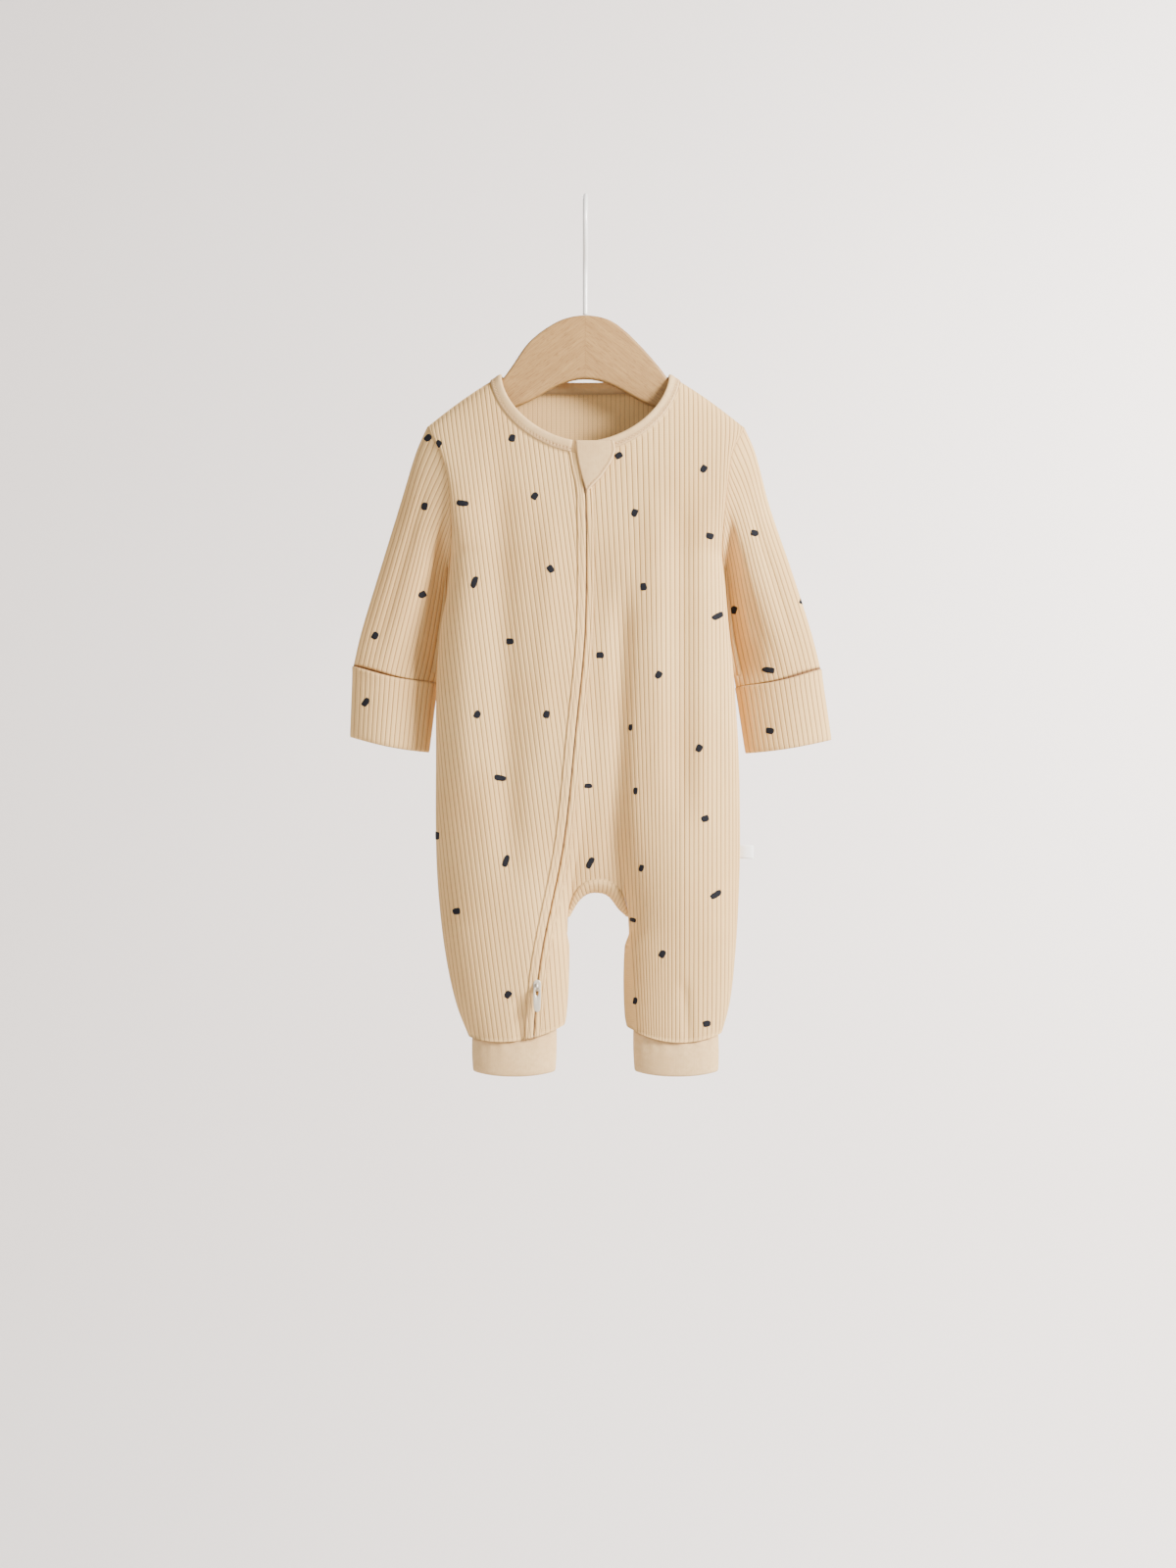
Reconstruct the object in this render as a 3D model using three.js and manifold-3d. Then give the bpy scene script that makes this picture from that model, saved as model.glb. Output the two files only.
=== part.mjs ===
// A ribbed baby sleepsuit without feet, hanging on a small wooden hanger with a wire hook.
// Millimetres, +Z up. The front faces -Y, and +X is the wearer's left, which is the viewer's right.
// The origin is the inside top of the hook's bend, where it sits on a rail.
import * as THREE from 'three';
import { mergeVertices } from 'three/addons/utils/BufferGeometryUtils.js';
import Module from 'manifold-3d';

const wasm = await Module();
wasm.setup();

// Cloth.
const WALL = 1.5;
const RIB_PITCH = 3.33;
const RIB_HEIGHT = 0.5;
const SEAM_GAP = 0.3;
const HALF_GAP = SEAM_GAP / 2;
const NORMAL_STEP = 0.05;

// Shoulders and neck.
const NECK_Z = -126;
const NECK_HALF_WIDTH = 60;
const SHOULDER_SLOPE = 0.7;
const SHOULDER_LENGTH = 52;
const SHOULDER_ARCH = 1.6;
const SHOULDER_ROUND = 90;
const BINDING_WIDTH = 8.4;
const NECKLINE = { x: 0, halfWidth: 60, frontDrop: 49.5, backDrop: 4, power: 1.8 };

// Crotch seam, an arch between the two inseams, and the gusset that hangs below it.
const CROTCH = { x: 9.25, halfWidth: 22.25, bottom: -522, rise: 36, power: 2.4, sag: 9 };
const LEG_START = -380;

// Each leg's hem sags to its lowest point near the middle.
const HEM = {
  right: { middle: -60, low: -601, curve: 0.0056 },
  left: { middle: 68, low: -601.5, curve: 0.0072 },
};

// Zip: the slit's line, and what lies beside and behind it.
const FACING_RIGHT = 5.6;
const FACING_LEFT = 4.4;
const SLIT = 0.6;
const ZIP_SEAM_GAP = 0.4;
const FACING_PROUD = 0.5;
const FACING_BACK = 1.3;
const TAPE_THICKNESS = 0.8;

// Each row is a height, then the left and right edge of the body there.
const BODY_EDGE = [
  [-150, -112.5, 113.5],
  [-163, -112.5, 113.5],
  [-181, -103.5, 105],
  [-201, -97.5, 101.5],
  [-236, -95, 98],
  [-253, -96, 97.5],
  [-278, -98, 100],
  [-306, -103, 102.5],
  [-341, -106, 106],
  [-398, -106.5, 109.5],
  [-460, -106.5, 110.5],
  [-500, -104.5, 109.5],
  [-541, -99.5, 107],
  [-575, -92, 103],
  [-602, -81.5, 95.5],
];

// Each row is a height, then the depth of the front and of the back at the middle.
const BODY_DEPTH = [
  [-126, 20, 18],
  [-200, 22, 19],
  [-260, 25, 20],
  [-330, 28, 22],
  [-400, 30, 24],
  [-460, 29, 26],
  [-522, 26, 25],
  [-560, 23, 23],
  [-602, 17, 17],
];

// Each row is a height and the half depth of the armhole there.
const ARMHOLE = [
  [-150, 16],
  [-200, 16],
  [-228, 14],
  [-243, 9],
  [-250, 4],
  [-253, 0],
  [-260, 0],
];

// Each row is a height, then the inseam of the wearer's right leg and of the left leg.
const INSEAM = [
  [-380, 8, 10.5],
  [-440, 0, 19],
  [-486, -9, 27.5],
  [-522, -13, 31.5],
  [-535, -11.2, 28],
  [-583, -13.3, 28],
  [-602, -18.5, 32],
];

// Each row is a height and the x of the zip's slit.
const ZIP = [
  [-160, -9],
  [-176, -6.3],
  [-192, -3.4],
  [-206, -0.7],
  [-218, 0.4],
  [-278, 0.7],
  [-320, -0.7],
  [-376, -6.3],
  [-460, -15.4],
  [-530, -29.4],
  [-558, -33.6],
  [-602, -37],
];

// Each row is a soft fold of the front: x and z of its two ends, its half width and its height.
const FRONT_FOLDS = [
  [26, -350, 22, -480, 9, -3.2],
  [6, -260, 9, -470, 13, -3.5],
  [-58, -200, -48, -470, 11, -2.6],
  [-82, -215, -78, -400, 12, 1.8],
  [84, -230, 80, -420, 13, 1.6],
  [-48, -570, -46, -602, 4, -2.4],
  [70, -560, 74, -602, 4, -2],
];

// The same for the back.
const BACK_FOLDS = [
  [8, -300, 9, -480, 12, -4],
  [-52, -220, -56, -440, 13, -2.2],
  [60, -250, 52, -470, 12, -2.4],
  [0, -160, 2, -280, 16, 1.5],
  [-50, -570, -52, -602, 4, -2],
  [66, -565, 64, -602, 4, -2.2],
];

// Share of the way from the top edge of a panel to its crotch level, and from there to the hem.
const TOP_ROWS = [0, 0.007, 0.028, 0.075, 0.14, 0.2, 0.251, 0.36, 0.5, 0.66, 0.84, 1];
const LEG_ROWS = [0.48, 1];
const ARMPIT_ROW = 6;
const ARCH_EASE = 4;

// Each row is a share of the sleeve's length, then x, y, z of its outer fold, x, y, z of its
// underarm fold, and its half depth.
const SLEEVE_RIGHT = [
  [0.15, -121, 1, -182, -99, 2, -268, 15],
  [0.35, -131.5, 2, -216, -101.6, 5, -288, 15],
  [0.6, -146, 3, -263, -105.2, 8, -312, 14],
  [0.85, -160, 4, -309, -107.4, 9, -334, 12.5],
  [1, -166, 4, -334.5, -108.2, 9, -345.5, 12],
];
const SLEEVE_LEFT = [
  [0.15, 121.5, 1, -182, 100.8, 2, -268, 15],
  [0.35, 131.5, 2, -219, 103.8, 5, -288, 15],
  [0.6, 147, 3, -264, 106.8, 8, -314, 14],
  [0.85, 161.5, 4, -309, 109.6, 9, -337, 12.5],
  [1, 168.5, 4, -336.5, 110, 9, -348.5, 12],
];
const SLEEVE_RIBS = 36;
const ARMHOLE_GAP = { seam: 0.8, top: 0.1, topZ: -169, reach: 8 };
const SLEEVE_DEPTH = 15;
const SLEEVE_ROUND = 0.72;
const SLEEVE_OPENS = 0.35;
const SLEEVE_WAVE = 1.5;
const SLEEVE_FOLD = { top: 0.75, foot: 0.5, halfWidth: 0.09, height: -2 };
const WRIST = {
  wall: 2.8,
  proud: 1.1,
  right: { outer: [-168, 5, -384.5], inner: [-112, 9, -395.5], depth: 12.5, sag: 1.6 },
  left: { outer: [176, 5, -386.5], inner: [115, 9, -396.2], depth: 12.5, sag: 1.4 },
};

// Ankle cuffs: x of the two edges at the top and at the bottom.
const ANKLE = {
  wall: 2,
  bottom: -624.5,
  round: 3,
  sagGap: 0.15,
  right: { top: [-80.6, -20.6], bottom: [-80, -21.2] },
  left: { top: [34.4, 94.9], bottom: [35.2, 95] },
  depthTop: 15.2,
  depthBottom: 13.2,
  sides: 36,
};

const GUSSET = { ribs: 24, rows: 6, ends: 0.13, aim: 10, gap: 0.4, endGap: 0.75, endShare: 0.22 };

// Sections of the bands: each row is a share across the band and a height over the cloth's face.
const BINDING_SECTION = [
  [0, -0.6],
  [0.08, 0.45],
  [0.5, 0.75],
  [1, 0.5],
  [1, -1.3],
  [0.08, -1.5],
];
const TAPE_BACK = -FACING_BACK - SEAM_GAP;
const STRIP_INSET = 0.1;
const BINDING = { frontSteps: 14, backSteps: 22, ease: 1.7, rightEnd: 0.18, leftEnd: 0.12, tighter: 0.04 };

// Chin guard: each row is a height and the x of its left and right edge.
const GUARD = [
  [-175, -6.5, 20],
  [-183, -6, 21],
  [-190.5, -4.9, 18],
  [-200.5, -2.4, 11.5],
  [-207, -0.4, 5],
  [-211.5, 0.8, 1.8],
];
const GUARD_BACK = 1.15;
const GUARD_THICKNESS = 1.2;
const SLIDER = {
  z: -562,
  width: 5.6,
  length: 8,
  above: 5.4,
  thickness: 1.6,
  lugOut: 1.3,
  lugRadius: 1.7,
  lugWidth: 1.4,
  holeRadius: 0.9,
};

const PULL = { width: 5.2, length: 17.5, thickness: 0.9, bar: 0.7, arm: 1.05, eyeReach: 2.1 };

// Side label: each row of its shape is a share of its reach, half its thickness, and its y.
const LABEL = {
  top: -461.3,
  foot: -471,
  reach: 119.7,
  droop: 0.5,
  shape: [
    [0, 0.5, 0],
    [0.45, 0.65, -0.4],
    [0.9, 0.6, -0.2],
    [1, 0.25, 0],
  ],
};

// Hanger: points are x and z, read anticlockwise from the middle of its foot.
const HANGER = {
  thickness: 8,
  bevel: 2.4,
  under: 3.35,
  reach: 101,
  neck: 60.5,
  step: 4,
  dip: 3.2,
  dipX: 69,
  dipReach: 5,
  tipDrop: 1.2,
  foot: [[0, -128], [18, -132], [40.6, -146], [60, -152.5], [78, -161], [93, -171.5]],
  tip: [[98.5, -174], [103, -171.5], [104.5, -166], [103.5, -161.5]],
  neckRight: [[58.6, -129], [56.8, -125.8], [54.6, -122.6], [46.2, -112.7], [38.5, -104.3], [30.1, -95.9], [19.6, -87.5], [10, -84.4]],
  neckLeft: [[58.6, -129], [56.6, -125.8], [53.9, -122.4], [47.6, -112.7], [42, -104.3], [32.9, -95.9], [19.6, -87.5], [10, -84.4]],
  top: [0, -83.3],
};
const BEVEL_STEPS = 2;

// Hook: rows of stem and end are y and z of the wire's middle.
const HOOK = {
  wire: 3.5,
  rail: 35,
  sides: 8,
  arcSteps: 20,
  stem: [[0, -83], [0, -68], [0, -54], [-1.2, -48.5], [-4.2, -43.5], [-8.8, -38.5], [-13.5, -33], [-17, -27], [-18.8, -21.5]],
  end: [[19.1, -20.5], [18.4, -24]],
};

const material = (color, roughness, metalness = 0) =>
  new THREE.MeshStandardMaterial({ color, roughness, metalness });
const MATERIALS = {
  rib: material('#e6d3ba', 0.95),
  jersey: material('#e3d1bd', 0.95),
  tape: material('#d9c3a8', 0.9),
  zip: material('#e9dfcf', 0.4),
  label: material('#f3f0e6', 0.9),
  wood: material('#ccae8b', 0.6),
  hook: material('#efece6', 0.35, 0.3),
};

const clamp = (value, low, high) => Math.min(Math.max(value, low), high);
const mix = (a, b, share) => a + (b - a) * share;
const mixPoint = (a, b, share) => a.map((value, i) => mix(value, b[i], share));
const plus = (a, b, scale = 1) => a.map((value, i) => value + b[i] * scale);
const minus = (a, b) => a.map((value, i) => value - b[i]);
const unit = (a) => {
  const size = Math.hypot(...a) || 1;
  return a.map((value) => value / size);
};
const cross = (a, b) => [
  a[1] * b[2] - a[2] * b[1],
  a[2] * b[0] - a[0] * b[2],
  a[0] * b[1] - a[1] * b[0],
];
const smooth = (value) => {
  const share = clamp(value, 0, 1);
  return share * share * (3 - 2 * share);
};
const bow = (value, power) => Math.pow(Math.max(1 - Math.pow(Math.abs(value), power), 0), 1 / power);

// Reads a table along its first column, with a smooth curve through its rows.
function readTable(rows, at, column) {
  const last = rows.length - 1;
  const falling = rows[last][0] < rows[0][0];
  let i = 0;
  while (i < last - 1 && (falling ? rows[i + 1][0] > at : rows[i + 1][0] < at)) i += 1;
  const span = rows[i + 1][0] - rows[i][0];
  const share = clamp((at - rows[i][0]) / span, 0, 1);
  const slope = (k) => {
    const a = rows[Math.max(k - 1, 0)];
    const b = rows[Math.min(k + 1, last)];
    return (b[column] - a[column]) / (b[0] - a[0]);
  };
  const s2 = share * share;
  const s3 = s2 * share;
  return (
    rows[i][column] * (2 * s3 - 3 * s2 + 1) +
    rows[i + 1][column] * (3 * s2 - 2 * s3) +
    slope(i) * span * (s3 - 2 * s2 + share) +
    slope(i + 1) * span * (s3 - s2)
  );
}

const leftEdge = (z) => readTable(BODY_EDGE, z, 1);
const rightEdge = (z) => readTable(BODY_EDGE, z, 2);
const inseamRight = (z) => readTable(INSEAM, z, 1);
const inseamLeft = (z) => readTable(INSEAM, z, 2);
const zipLine = (z) => readTable(ZIP, z, 1);

// Height of the shoulder ridge at x, rising straight through the neck opening.
function shoulderHeight(x) {
  const out = Math.abs(x) - NECK_HALF_WIDTH;
  const arch = SHOULDER_ARCH * Math.sin(Math.PI * clamp(out / SHOULDER_LENGTH, 0, 1));
  return NECK_Z - SHOULDER_SLOPE * out + arch;
}

// Sum of the soft folds at a point of the front or back.
function foldHeight(folds, x, z) {
  let sum = 0;
  for (const [x0, z0, x1, z1, halfWidth, height] of folds) {
    const along = (z - z0) / (z1 - z0);
    const across = (x - mix(x0, x1, along)) / halfWidth;
    const ends = smooth((along + 0.15) / 0.3) * smooth((1.15 - along) / 0.3);
    sum += height * ends * Math.exp(-across * across);
  }
  return sum;
}

const SIDES = {
  front: { sign: -1, column: 1, power: 3.2, folds: FRONT_FOLDS },
  back: { sign: 1, column: 2, power: 2.4, folds: BACK_FOLDS },
};

// How far the front or the back stands from the middle plane at x, z.
function depthAt(side, x, z) {
  const { column, power, folds } = SIDES[side];
  const left = leftEdge(z);
  const right = rightEdge(z);
  const across = clamp((2 * x - left - right) / (right - left), -1, 1);
  const full = readTable(BODY_DEPTH, z, column);
  const edge = readTable(ARMHOLE, z, 1);
  const torso = edge + (full - edge) * bow(across, power);
  const drop = clamp((shoulderHeight(x) - z) / SHOULDER_ROUND, 0, 1);
  const ridge = Math.sqrt(1 - (1 - drop) * (1 - drop));
  const legShare = clamp((LEG_START - z) / (LEG_START - CROTCH.bottom), 0, 1);
  const legs = legShare * legShare;
  let leg = 0;
  if (legs > 0) {
    const inner = x < CROTCH.x ? inseamRight(z) : inseamLeft(z);
    const outer = x < CROTCH.x ? left : right;
    const round = bow(clamp((2 * x - inner - outer) / (outer - inner), -1, 1), 2.3);
    leg = full * Math.pow(round, mix(3, 1, legs));
  }
  const cloth = mix(torso, leg, legs);
  const soften = bow(across, 2) * (legs > 0 ? mix(1, leg / full, legs) : 1);
  return (cloth + foldHeight(folds, x, z) * soften) * ridge;
}

// Point on the outside of the front or back, moved out along the cloth's normal by lift.
function clothPoint(side, x, z, lift = 0) {
  const { sign } = SIDES[side];
  const h = NORMAL_STEP;
  const depth = depthAt(side, x, z);
  const slopeX = (depthAt(side, x + h, z) - depthAt(side, x - h, z)) / (2 * h);
  const slopeZ = (depthAt(side, x, z + h) - depthAt(side, x, z - h)) / (2 * h);
  const normal = unit([-slopeX, sign, -slopeZ]);
  const point = [x, sign * (depth + HALF_GAP), z];
  const moved = plus(point, normal, lift);
  moved[1] = sign * Math.max(sign * moved[1], HALF_GAP);
  return moved;
}

// Height of the neckline at x: the open edge, or the seam that lies outset from it.
function necklineHeight(side, x, outset) {
  const reach = NECKLINE.halfWidth + outset;
  const drop = (side === 'front' ? NECKLINE.frontDrop : NECKLINE.backDrop) + outset;
  const power = side === 'front' ? NECKLINE.power : NECKLINE.power + 1;
  return NECK_Z - drop * bow(clamp((x - NECKLINE.x) / reach, -1, 1), power);
}

const panelTop = (side, x) =>
  Math.min(shoulderHeight(x), necklineHeight(side, x, BINDING_WIDTH + SEAM_GAP));
const crotchHeight = (x) =>
  CROTCH.bottom + CROTCH.rise * bow((x - CROTCH.x) / CROTCH.halfWidth, CROTCH.power);
const hemHeight = (x) => {
  const { middle, low, curve } = x < CROTCH.x ? HEM.right : HEM.left;
  return low + curve * (x - middle) * (x - middle);
};

// Height of a row: from the top edge down to the crotch's arch, and on to the hem.
function rowHeight(row, x, split, top, foot) {
  if (row > 1) return mix(CROTCH.bottom, foot, row - 1);
  const arch = split ? (crotchHeight(x) - CROTCH.bottom) * Math.pow(row, ARCH_EASE) : 0;
  return mix(top, CROTCH.bottom, row) + arch;
}

// Collects triangles on shared points, and closes them into one mesh.
class Solid {
  constructor() {
    this.index = new Map();
    this.points = [];
    this.faces = [];
  }

  at(point) {
    const key = point.map((value) => Math.round(value * 500)).join(' ');
    if (!this.index.has(key)) {
      this.index.set(key, this.points.length);
      this.points.push(point);
    }
    return this.index.get(key);
  }

  triangle(a, b, c) {
    const face = [this.at(a), this.at(b), this.at(c)];
    if (face[0] !== face[1] && face[1] !== face[2] && face[2] !== face[0]) this.faces.push(face);
  }

  quad(a, b, c, d) {
    this.triangle(a, b, c);
    this.triangle(a, c, d);
  }

  // Joins two lines of points, the second with fewer points, each at a known place of the first.
  stitch(fine, coarse, places) {
    for (let k = 0; k + 1 < coarse.length; k += 1) {
      const middle = Math.floor((places[k] + places[k + 1]) / 2);
      for (let i = places[k]; i < places[k + 1]; i += 1) {
        this.triangle(fine[i], fine[i + 1], coarse[i < middle ? k : k + 1]);
        if (i === middle) this.triangle(fine[i], coarse[k + 1], coarse[k]);
      }
    }
  }

  volume() {
    let sum = 0;
    for (const [a, b, c] of this.faces) {
      const [p, q, r] = [this.points[a], this.points[b], this.points[c]];
      const turned = cross(q, r);
      sum += p[0] * turned[0] + p[1] * turned[1] + p[2] * turned[2];
    }
    return sum / 6;
  }

  mesh(name, look) {
    const outward = this.volume() > 0;
    const indices = this.faces.flatMap((face) => (outward ? face : [face[0], face[2], face[1]]));
    const geometry = new THREE.BufferGeometry();
    geometry.setAttribute('position', new THREE.Float32BufferAttribute(this.points.flat(), 3));
    geometry.setIndex(indices);
    geometry.computeVertexNormals();
    const made = new THREE.Mesh(geometry, MATERIALS[look]);
    made.name = name;
    return made;
  }
}

// Cloth is measured across the body from a middle line, along its curved section.
const SECTION_STEPS = 48;

function sectionOf(side, z) {
  const left = leftEdge(z);
  const right = rightEdge(z);
  const full = readTable(BODY_DEPTH, z, SIDES[side].column);
  const lengths = [0];
  const places = [left];
  let lastDepth = 0;
  for (let i = 1; i <= SECTION_STEPS; i += 1) {
    const across = -Math.cos((Math.PI * i) / SECTION_STEPS);
    const x = mix(left, right, (across + 1) / 2);
    const depth = full * bow(across, SIDES[side].power);
    lengths.push(lengths[i - 1] + Math.hypot(x - places[i - 1], depth - lastDepth));
    places.push(x);
    lastDepth = depth;
  }
  return { lengths, places };
}

function readAlong(from, to, at) {
  let i = 0;
  while (i < from.length - 2 && from[i + 1] < at) i += 1;
  return mix(to[i], to[i + 1], clamp((at - from[i]) / (from[i + 1] - from[i]), 0, 1));
}

// Closes a wall whose columns hold matching outer and inner points, from top to bottom.
// Columns marked gap stop above the crotch. Inner columns are kept only where keep is true.
function closeWall(name, look, columns, keep) {
  const solid = new Solid();
  const skin = (list, part, turned) => {
    for (let c = 0; c + 1 < list.length; c += 1) {
      const [a, b] = [list[c][part], list[c + 1][part]];
      const rows = Math.min(a.length, b.length);
      for (let r = 0; r + 1 < rows; r += 1) {
        if (turned) solid.quad(a[r], a[r + 1], b[r + 1], b[r]);
        else solid.quad(a[r], b[r], b[r + 1], a[r + 1]);
      }
    }
  };
  skin(columns, 'outer', false);
  skin(columns.filter((column, c) => keep(column, c)), 'inner', true);

  // The edge of the wall, down the left side, along the foot, up the right side, back along the top.
  const edge = [];
  const last = columns.length - 1;
  const down = (c, from, to) => {
    for (let r = from; r < to; r += 1) edge.push([c, r]);
  };
  const up = (c, from, to) => {
    for (let r = from; r > to; r -= 1) edge.push([c, r]);
  };
  const foot = (c) => columns[c].outer.length - 1;
  down(0, 0, foot(0));
  for (let c = 0; c < last; c += 1) {
    edge.push([c, foot(c)]);
    if (foot(c + 1) < foot(c)) up(c, foot(c) - 1, foot(c + 1) - 1);
    if (foot(c + 1) > foot(c)) down(c + 1, foot(c), foot(c + 1));
  }
  up(last, foot(last), 0);
  for (let c = last; c > 0; c -= 1) edge.push([c, 0]);
  edge.push([0, 0]);
  const outer = edge.map(([c, r]) => columns[c].outer[r]);
  const kept = edge.map((place, i) => i).filter((i) => keep(columns[edge[i][0]], edge[i][0]));
  const inner = kept.map((i) => columns[edge[i][0]].inner[edge[i][1]]);
  solid.stitch(outer, inner, kept);
  return solid.mesh(name, look);
}

// A panel of the body is a set of rib lines, cut off at its left and right edge.
// lean(place) is how far a line moves to +X for each millimetre it runs down.
const LEAN_MIDDLE = -306;
const PANELS = {
  front_right_panel: {
    side: 'front',
    left: leftEdge,
    right: (z) => zipLine(z) - SLIT - FACING_RIGHT - ZIP_SEAM_GAP,
    origin: -50,
    lean: () => 0.13,
    split: false,
  },
  front_left_panel: {
    side: 'front',
    left: (z) => zipLine(z) + SLIT + FACING_LEFT + ZIP_SEAM_GAP,
    right: rightEdge,
    origin: 60,
    lean: (place) => 0.075 * smooth((10 - place) / 70),
    split: true,
  },
  back_panel: {
    side: 'back',
    left: leftEdge,
    right: rightEdge,
    origin: 2,
    lean: () => 0,
    split: true,
  },
};
const SNAP = 0.45;
const KEPT_BY_CROTCH = 4;
const INNER_STEP = 4;
const SETTLE_TURNS = 14;
const CROTCH_LEFT_END = CROTCH.x - CROTCH.halfWidth;
const CROTCH_RIGHT_END = CROTCH.x + CROTCH.halfWidth;

// Where a rib line lies at height z, before it is held between the panel's edges.
function lineLength(panel, section, place, z) {
  const middle = readAlong(section.places, section.lengths, panel.origin);
  return middle + place + panel.lean(place) * (LEAN_MIDDLE - z);
}

// The place of the rib line that passes through x at height z.
function placeThrough(panel, x, z) {
  const section = sectionOf(panel.side, z);
  const wanted = readAlong(section.places, section.lengths, x);
  let place = 0;
  for (let turn = 0; turn < SETTLE_TURNS; turn += 1) {
    place += wanted - lineLength(panel, section, place, z);
  }
  return place;
}

// Point a wall's thickness behind a point of the front or back, straight towards the middle plane.
function straightIn(side, point) {
  const { sign } = SIDES[side];
  return [point[0], sign * Math.max(sign * point[1] - WALL, HALF_GAP), point[2]];
}

// One column of a panel. kind says what it follows: left or right for the panel's own edges, start or
// end for the two ends of the crotch seam, and otherwise a rib line.
function columnOf(panel, kind, place, leg, crest) {
  const rows = leg === 'gap' ? TOP_ROWS : [...TOP_ROWS, ...LEG_ROWS.map((row) => row + 1)];
  const atArm = (kind === 'left' && panel.left === leftEdge) || (kind === 'right' && panel.right === rightEdge);
  const outer = [];
  const inner = [];
  let z = -200;
  for (const row of rows) {
    let x = 0;
    let free = false;
    for (let turn = 0; turn < SETTLE_TURNS; turn += 1) {
      const low = row > 1 && panel.split && leg === 'left' ? inseamLeft(z) : panel.left(z);
      const high = row > 1 && panel.split && leg === 'right' ? inseamRight(z) : panel.right(z);
      const section = sectionOf(panel.side, z);
      const toLength = (at) => readAlong(section.places, section.lengths, at);
      const wanted = lineLength(panel, section, place, z);
      free = false;
      if (kind === 'left' || (kind === 'end' && row > 1)) x = low;
      else if (kind === 'right' || (kind === 'start' && row > 1)) x = high;
      else if (kind === 'start' && row === 1) x = CROTCH_LEFT_END;
      else if (kind === 'end' && row === 1) x = CROTCH_RIGHT_END;
      else if (wanted < toLength(low) + SNAP) x = low;
      else if (wanted > toLength(high) - SNAP) x = high;
      else {
        x = readAlong(section.lengths, section.places, wanted);
        free = true;
      }
      const next = rowHeight(row, x, panel.split, panelTop(panel.side, x), hemHeight(x));
      z = mix(z, next, turn < SETTLE_TURNS / 2 ? 0.8 : 0.5);
    }
    const seam = row === 0 || !free || (row === 1 && leg === 'gap');
    outer.push(clothPoint(panel.side, x, z, seam ? 0 : RIB_HEIGHT * crest));
    const upright = (atArm && outer.length > 2 && outer.length <= ARMPIT_ROW) || (row === 1 && leg === 'gap');
    inner.push(upright ? straightIn(panel.side, outer.at(-1)) : clothPoint(panel.side, x, z, -WALL));
  }
  return { outer, inner, kind, kept: kind !== 'line' };
}

function panelColumns(panel) {
  const widest = 160;
  const start = panel.split ? placeThrough(panel, CROTCH_LEFT_END, CROTCH.bottom) : 0;
  const end = panel.split ? placeThrough(panel, CROTCH_RIGHT_END, CROTCH.bottom) : 0;
  const columns = [];
  columns.push(columnOf(panel, 'left', 0, 'right', 0));
  for (let i = Math.ceil((-2 * widest) / RIB_PITCH); i <= (2 * widest) / RIB_PITCH; i += 1) {
    const place = (i * RIB_PITCH) / 2;
    const crest = i % 2 === 0 ? 0 : 1;
    const before = place - RIB_PITCH / 2;
    if (panel.split && before < start && place >= start) {
      columns.push(columnOf(panel, 'start', start, 'right', 0));
    }
    if (panel.split && before < end && place >= end) {
      columns.push(columnOf(panel, 'end', end, 'left', 0));
    }
    const nearSeam = panel.split && Math.min(Math.abs(place - start), Math.abs(place - end)) < SNAP;
    if (nearSeam) continue;
    const leg = !panel.split || place < start ? 'right' : place > end ? 'left' : 'gap';
    const column = columnOf(panel, 'line', place, leg, crest);
    column.kept = leg === 'gap' && Math.min(place - start, end - place) < KEPT_BY_CROTCH;
    columns.push(column);
  }
  columns.push(columnOf(panel, 'right', 0, panel.split ? 'left' : 'right', 0));
  return columns.filter((column, c) => column.kind !== 'line' || differs(column, columns, c));
}

// A rib line that lies on a panel's edge all the way adds nothing.
function differs(column, columns, c) {
  const same = (a, b) => a.outer.every((p, i) => b.outer[i] && Math.hypot(...minus(p, b.outer[i])) < 0.01);
  return !same(column, columns[0]) && !same(column, columns[columns.length - 1]) && c > 0;
}

// The inside of a panel needs only its edges and every few rib lines.
const keepsInner = (column, c) => column.kept || c % INNER_STEP === 0;

const group = new THREE.Group();
const columnsByPanel = {};
for (const [name, panel] of Object.entries(PANELS)) {
  const columns = panelColumns(panel);
  columnsByPanel[name] = columns;
  group.add(closeWall(name, 'rib', columns, keepsInner));
}

// Closes a tube whose rings hold matching outer and inner loops, keeping each step-th inner point.
function closeTube(name, look, rings, step) {
  const solid = new Solid();
  const count = rings[0].outer.length;
  const at = (loop, k) => loop[k % count];
  for (let r = 0; r + 1 < rings.length; r += 1) {
    const [top, foot] = [rings[r], rings[r + 1]];
    for (let k = 0; k < count; k += 1) {
      solid.quad(top.outer[k], at(top.outer, k + 1), at(foot.outer, k + 1), foot.outer[k]);
    }
    for (let k = 0; k < count; k += step) {
      solid.quad(top.inner[k], foot.inner[k], at(foot.inner, k + step), at(top.inner, k + step));
    }
  }
  const rim = (ring, order) => {
    const places = Array.from({ length: count / step + 1 }, (none, i) => i * step);
    const fine = Array.from({ length: count + 1 }, (none, i) => at(ring.outer, order(i)));
    solid.stitch(fine, places.map((i) => at(ring.inner, order(i))), places);
  };
  rim(rings[0], (i) => count - i);
  rim(rings[rings.length - 1], (i) => i);
  return solid.mesh(name, look);
}

// Closes a bar through sections that each hold the same number of points, with a flat cap at each end.
function closeBar(name, look, sections) {
  const solid = new Solid();
  const count = sections[0].length;
  for (let i = 0; i + 1 < sections.length; i += 1) {
    for (let k = 0; k < count; k += 1) {
      const next = (k + 1) % count;
      solid.quad(sections[i][k], sections[i][next], sections[i + 1][next], sections[i + 1][k]);
    }
  }
  const last = sections[sections.length - 1];
  for (let k = 1; k + 1 < count; k += 1) {
    solid.triangle(sections[0][0], sections[0][k + 1], sections[0][k]);
    solid.triangle(last[0], last[k], last[k + 1]);
  }
  return solid.mesh(name, look);
}

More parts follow.
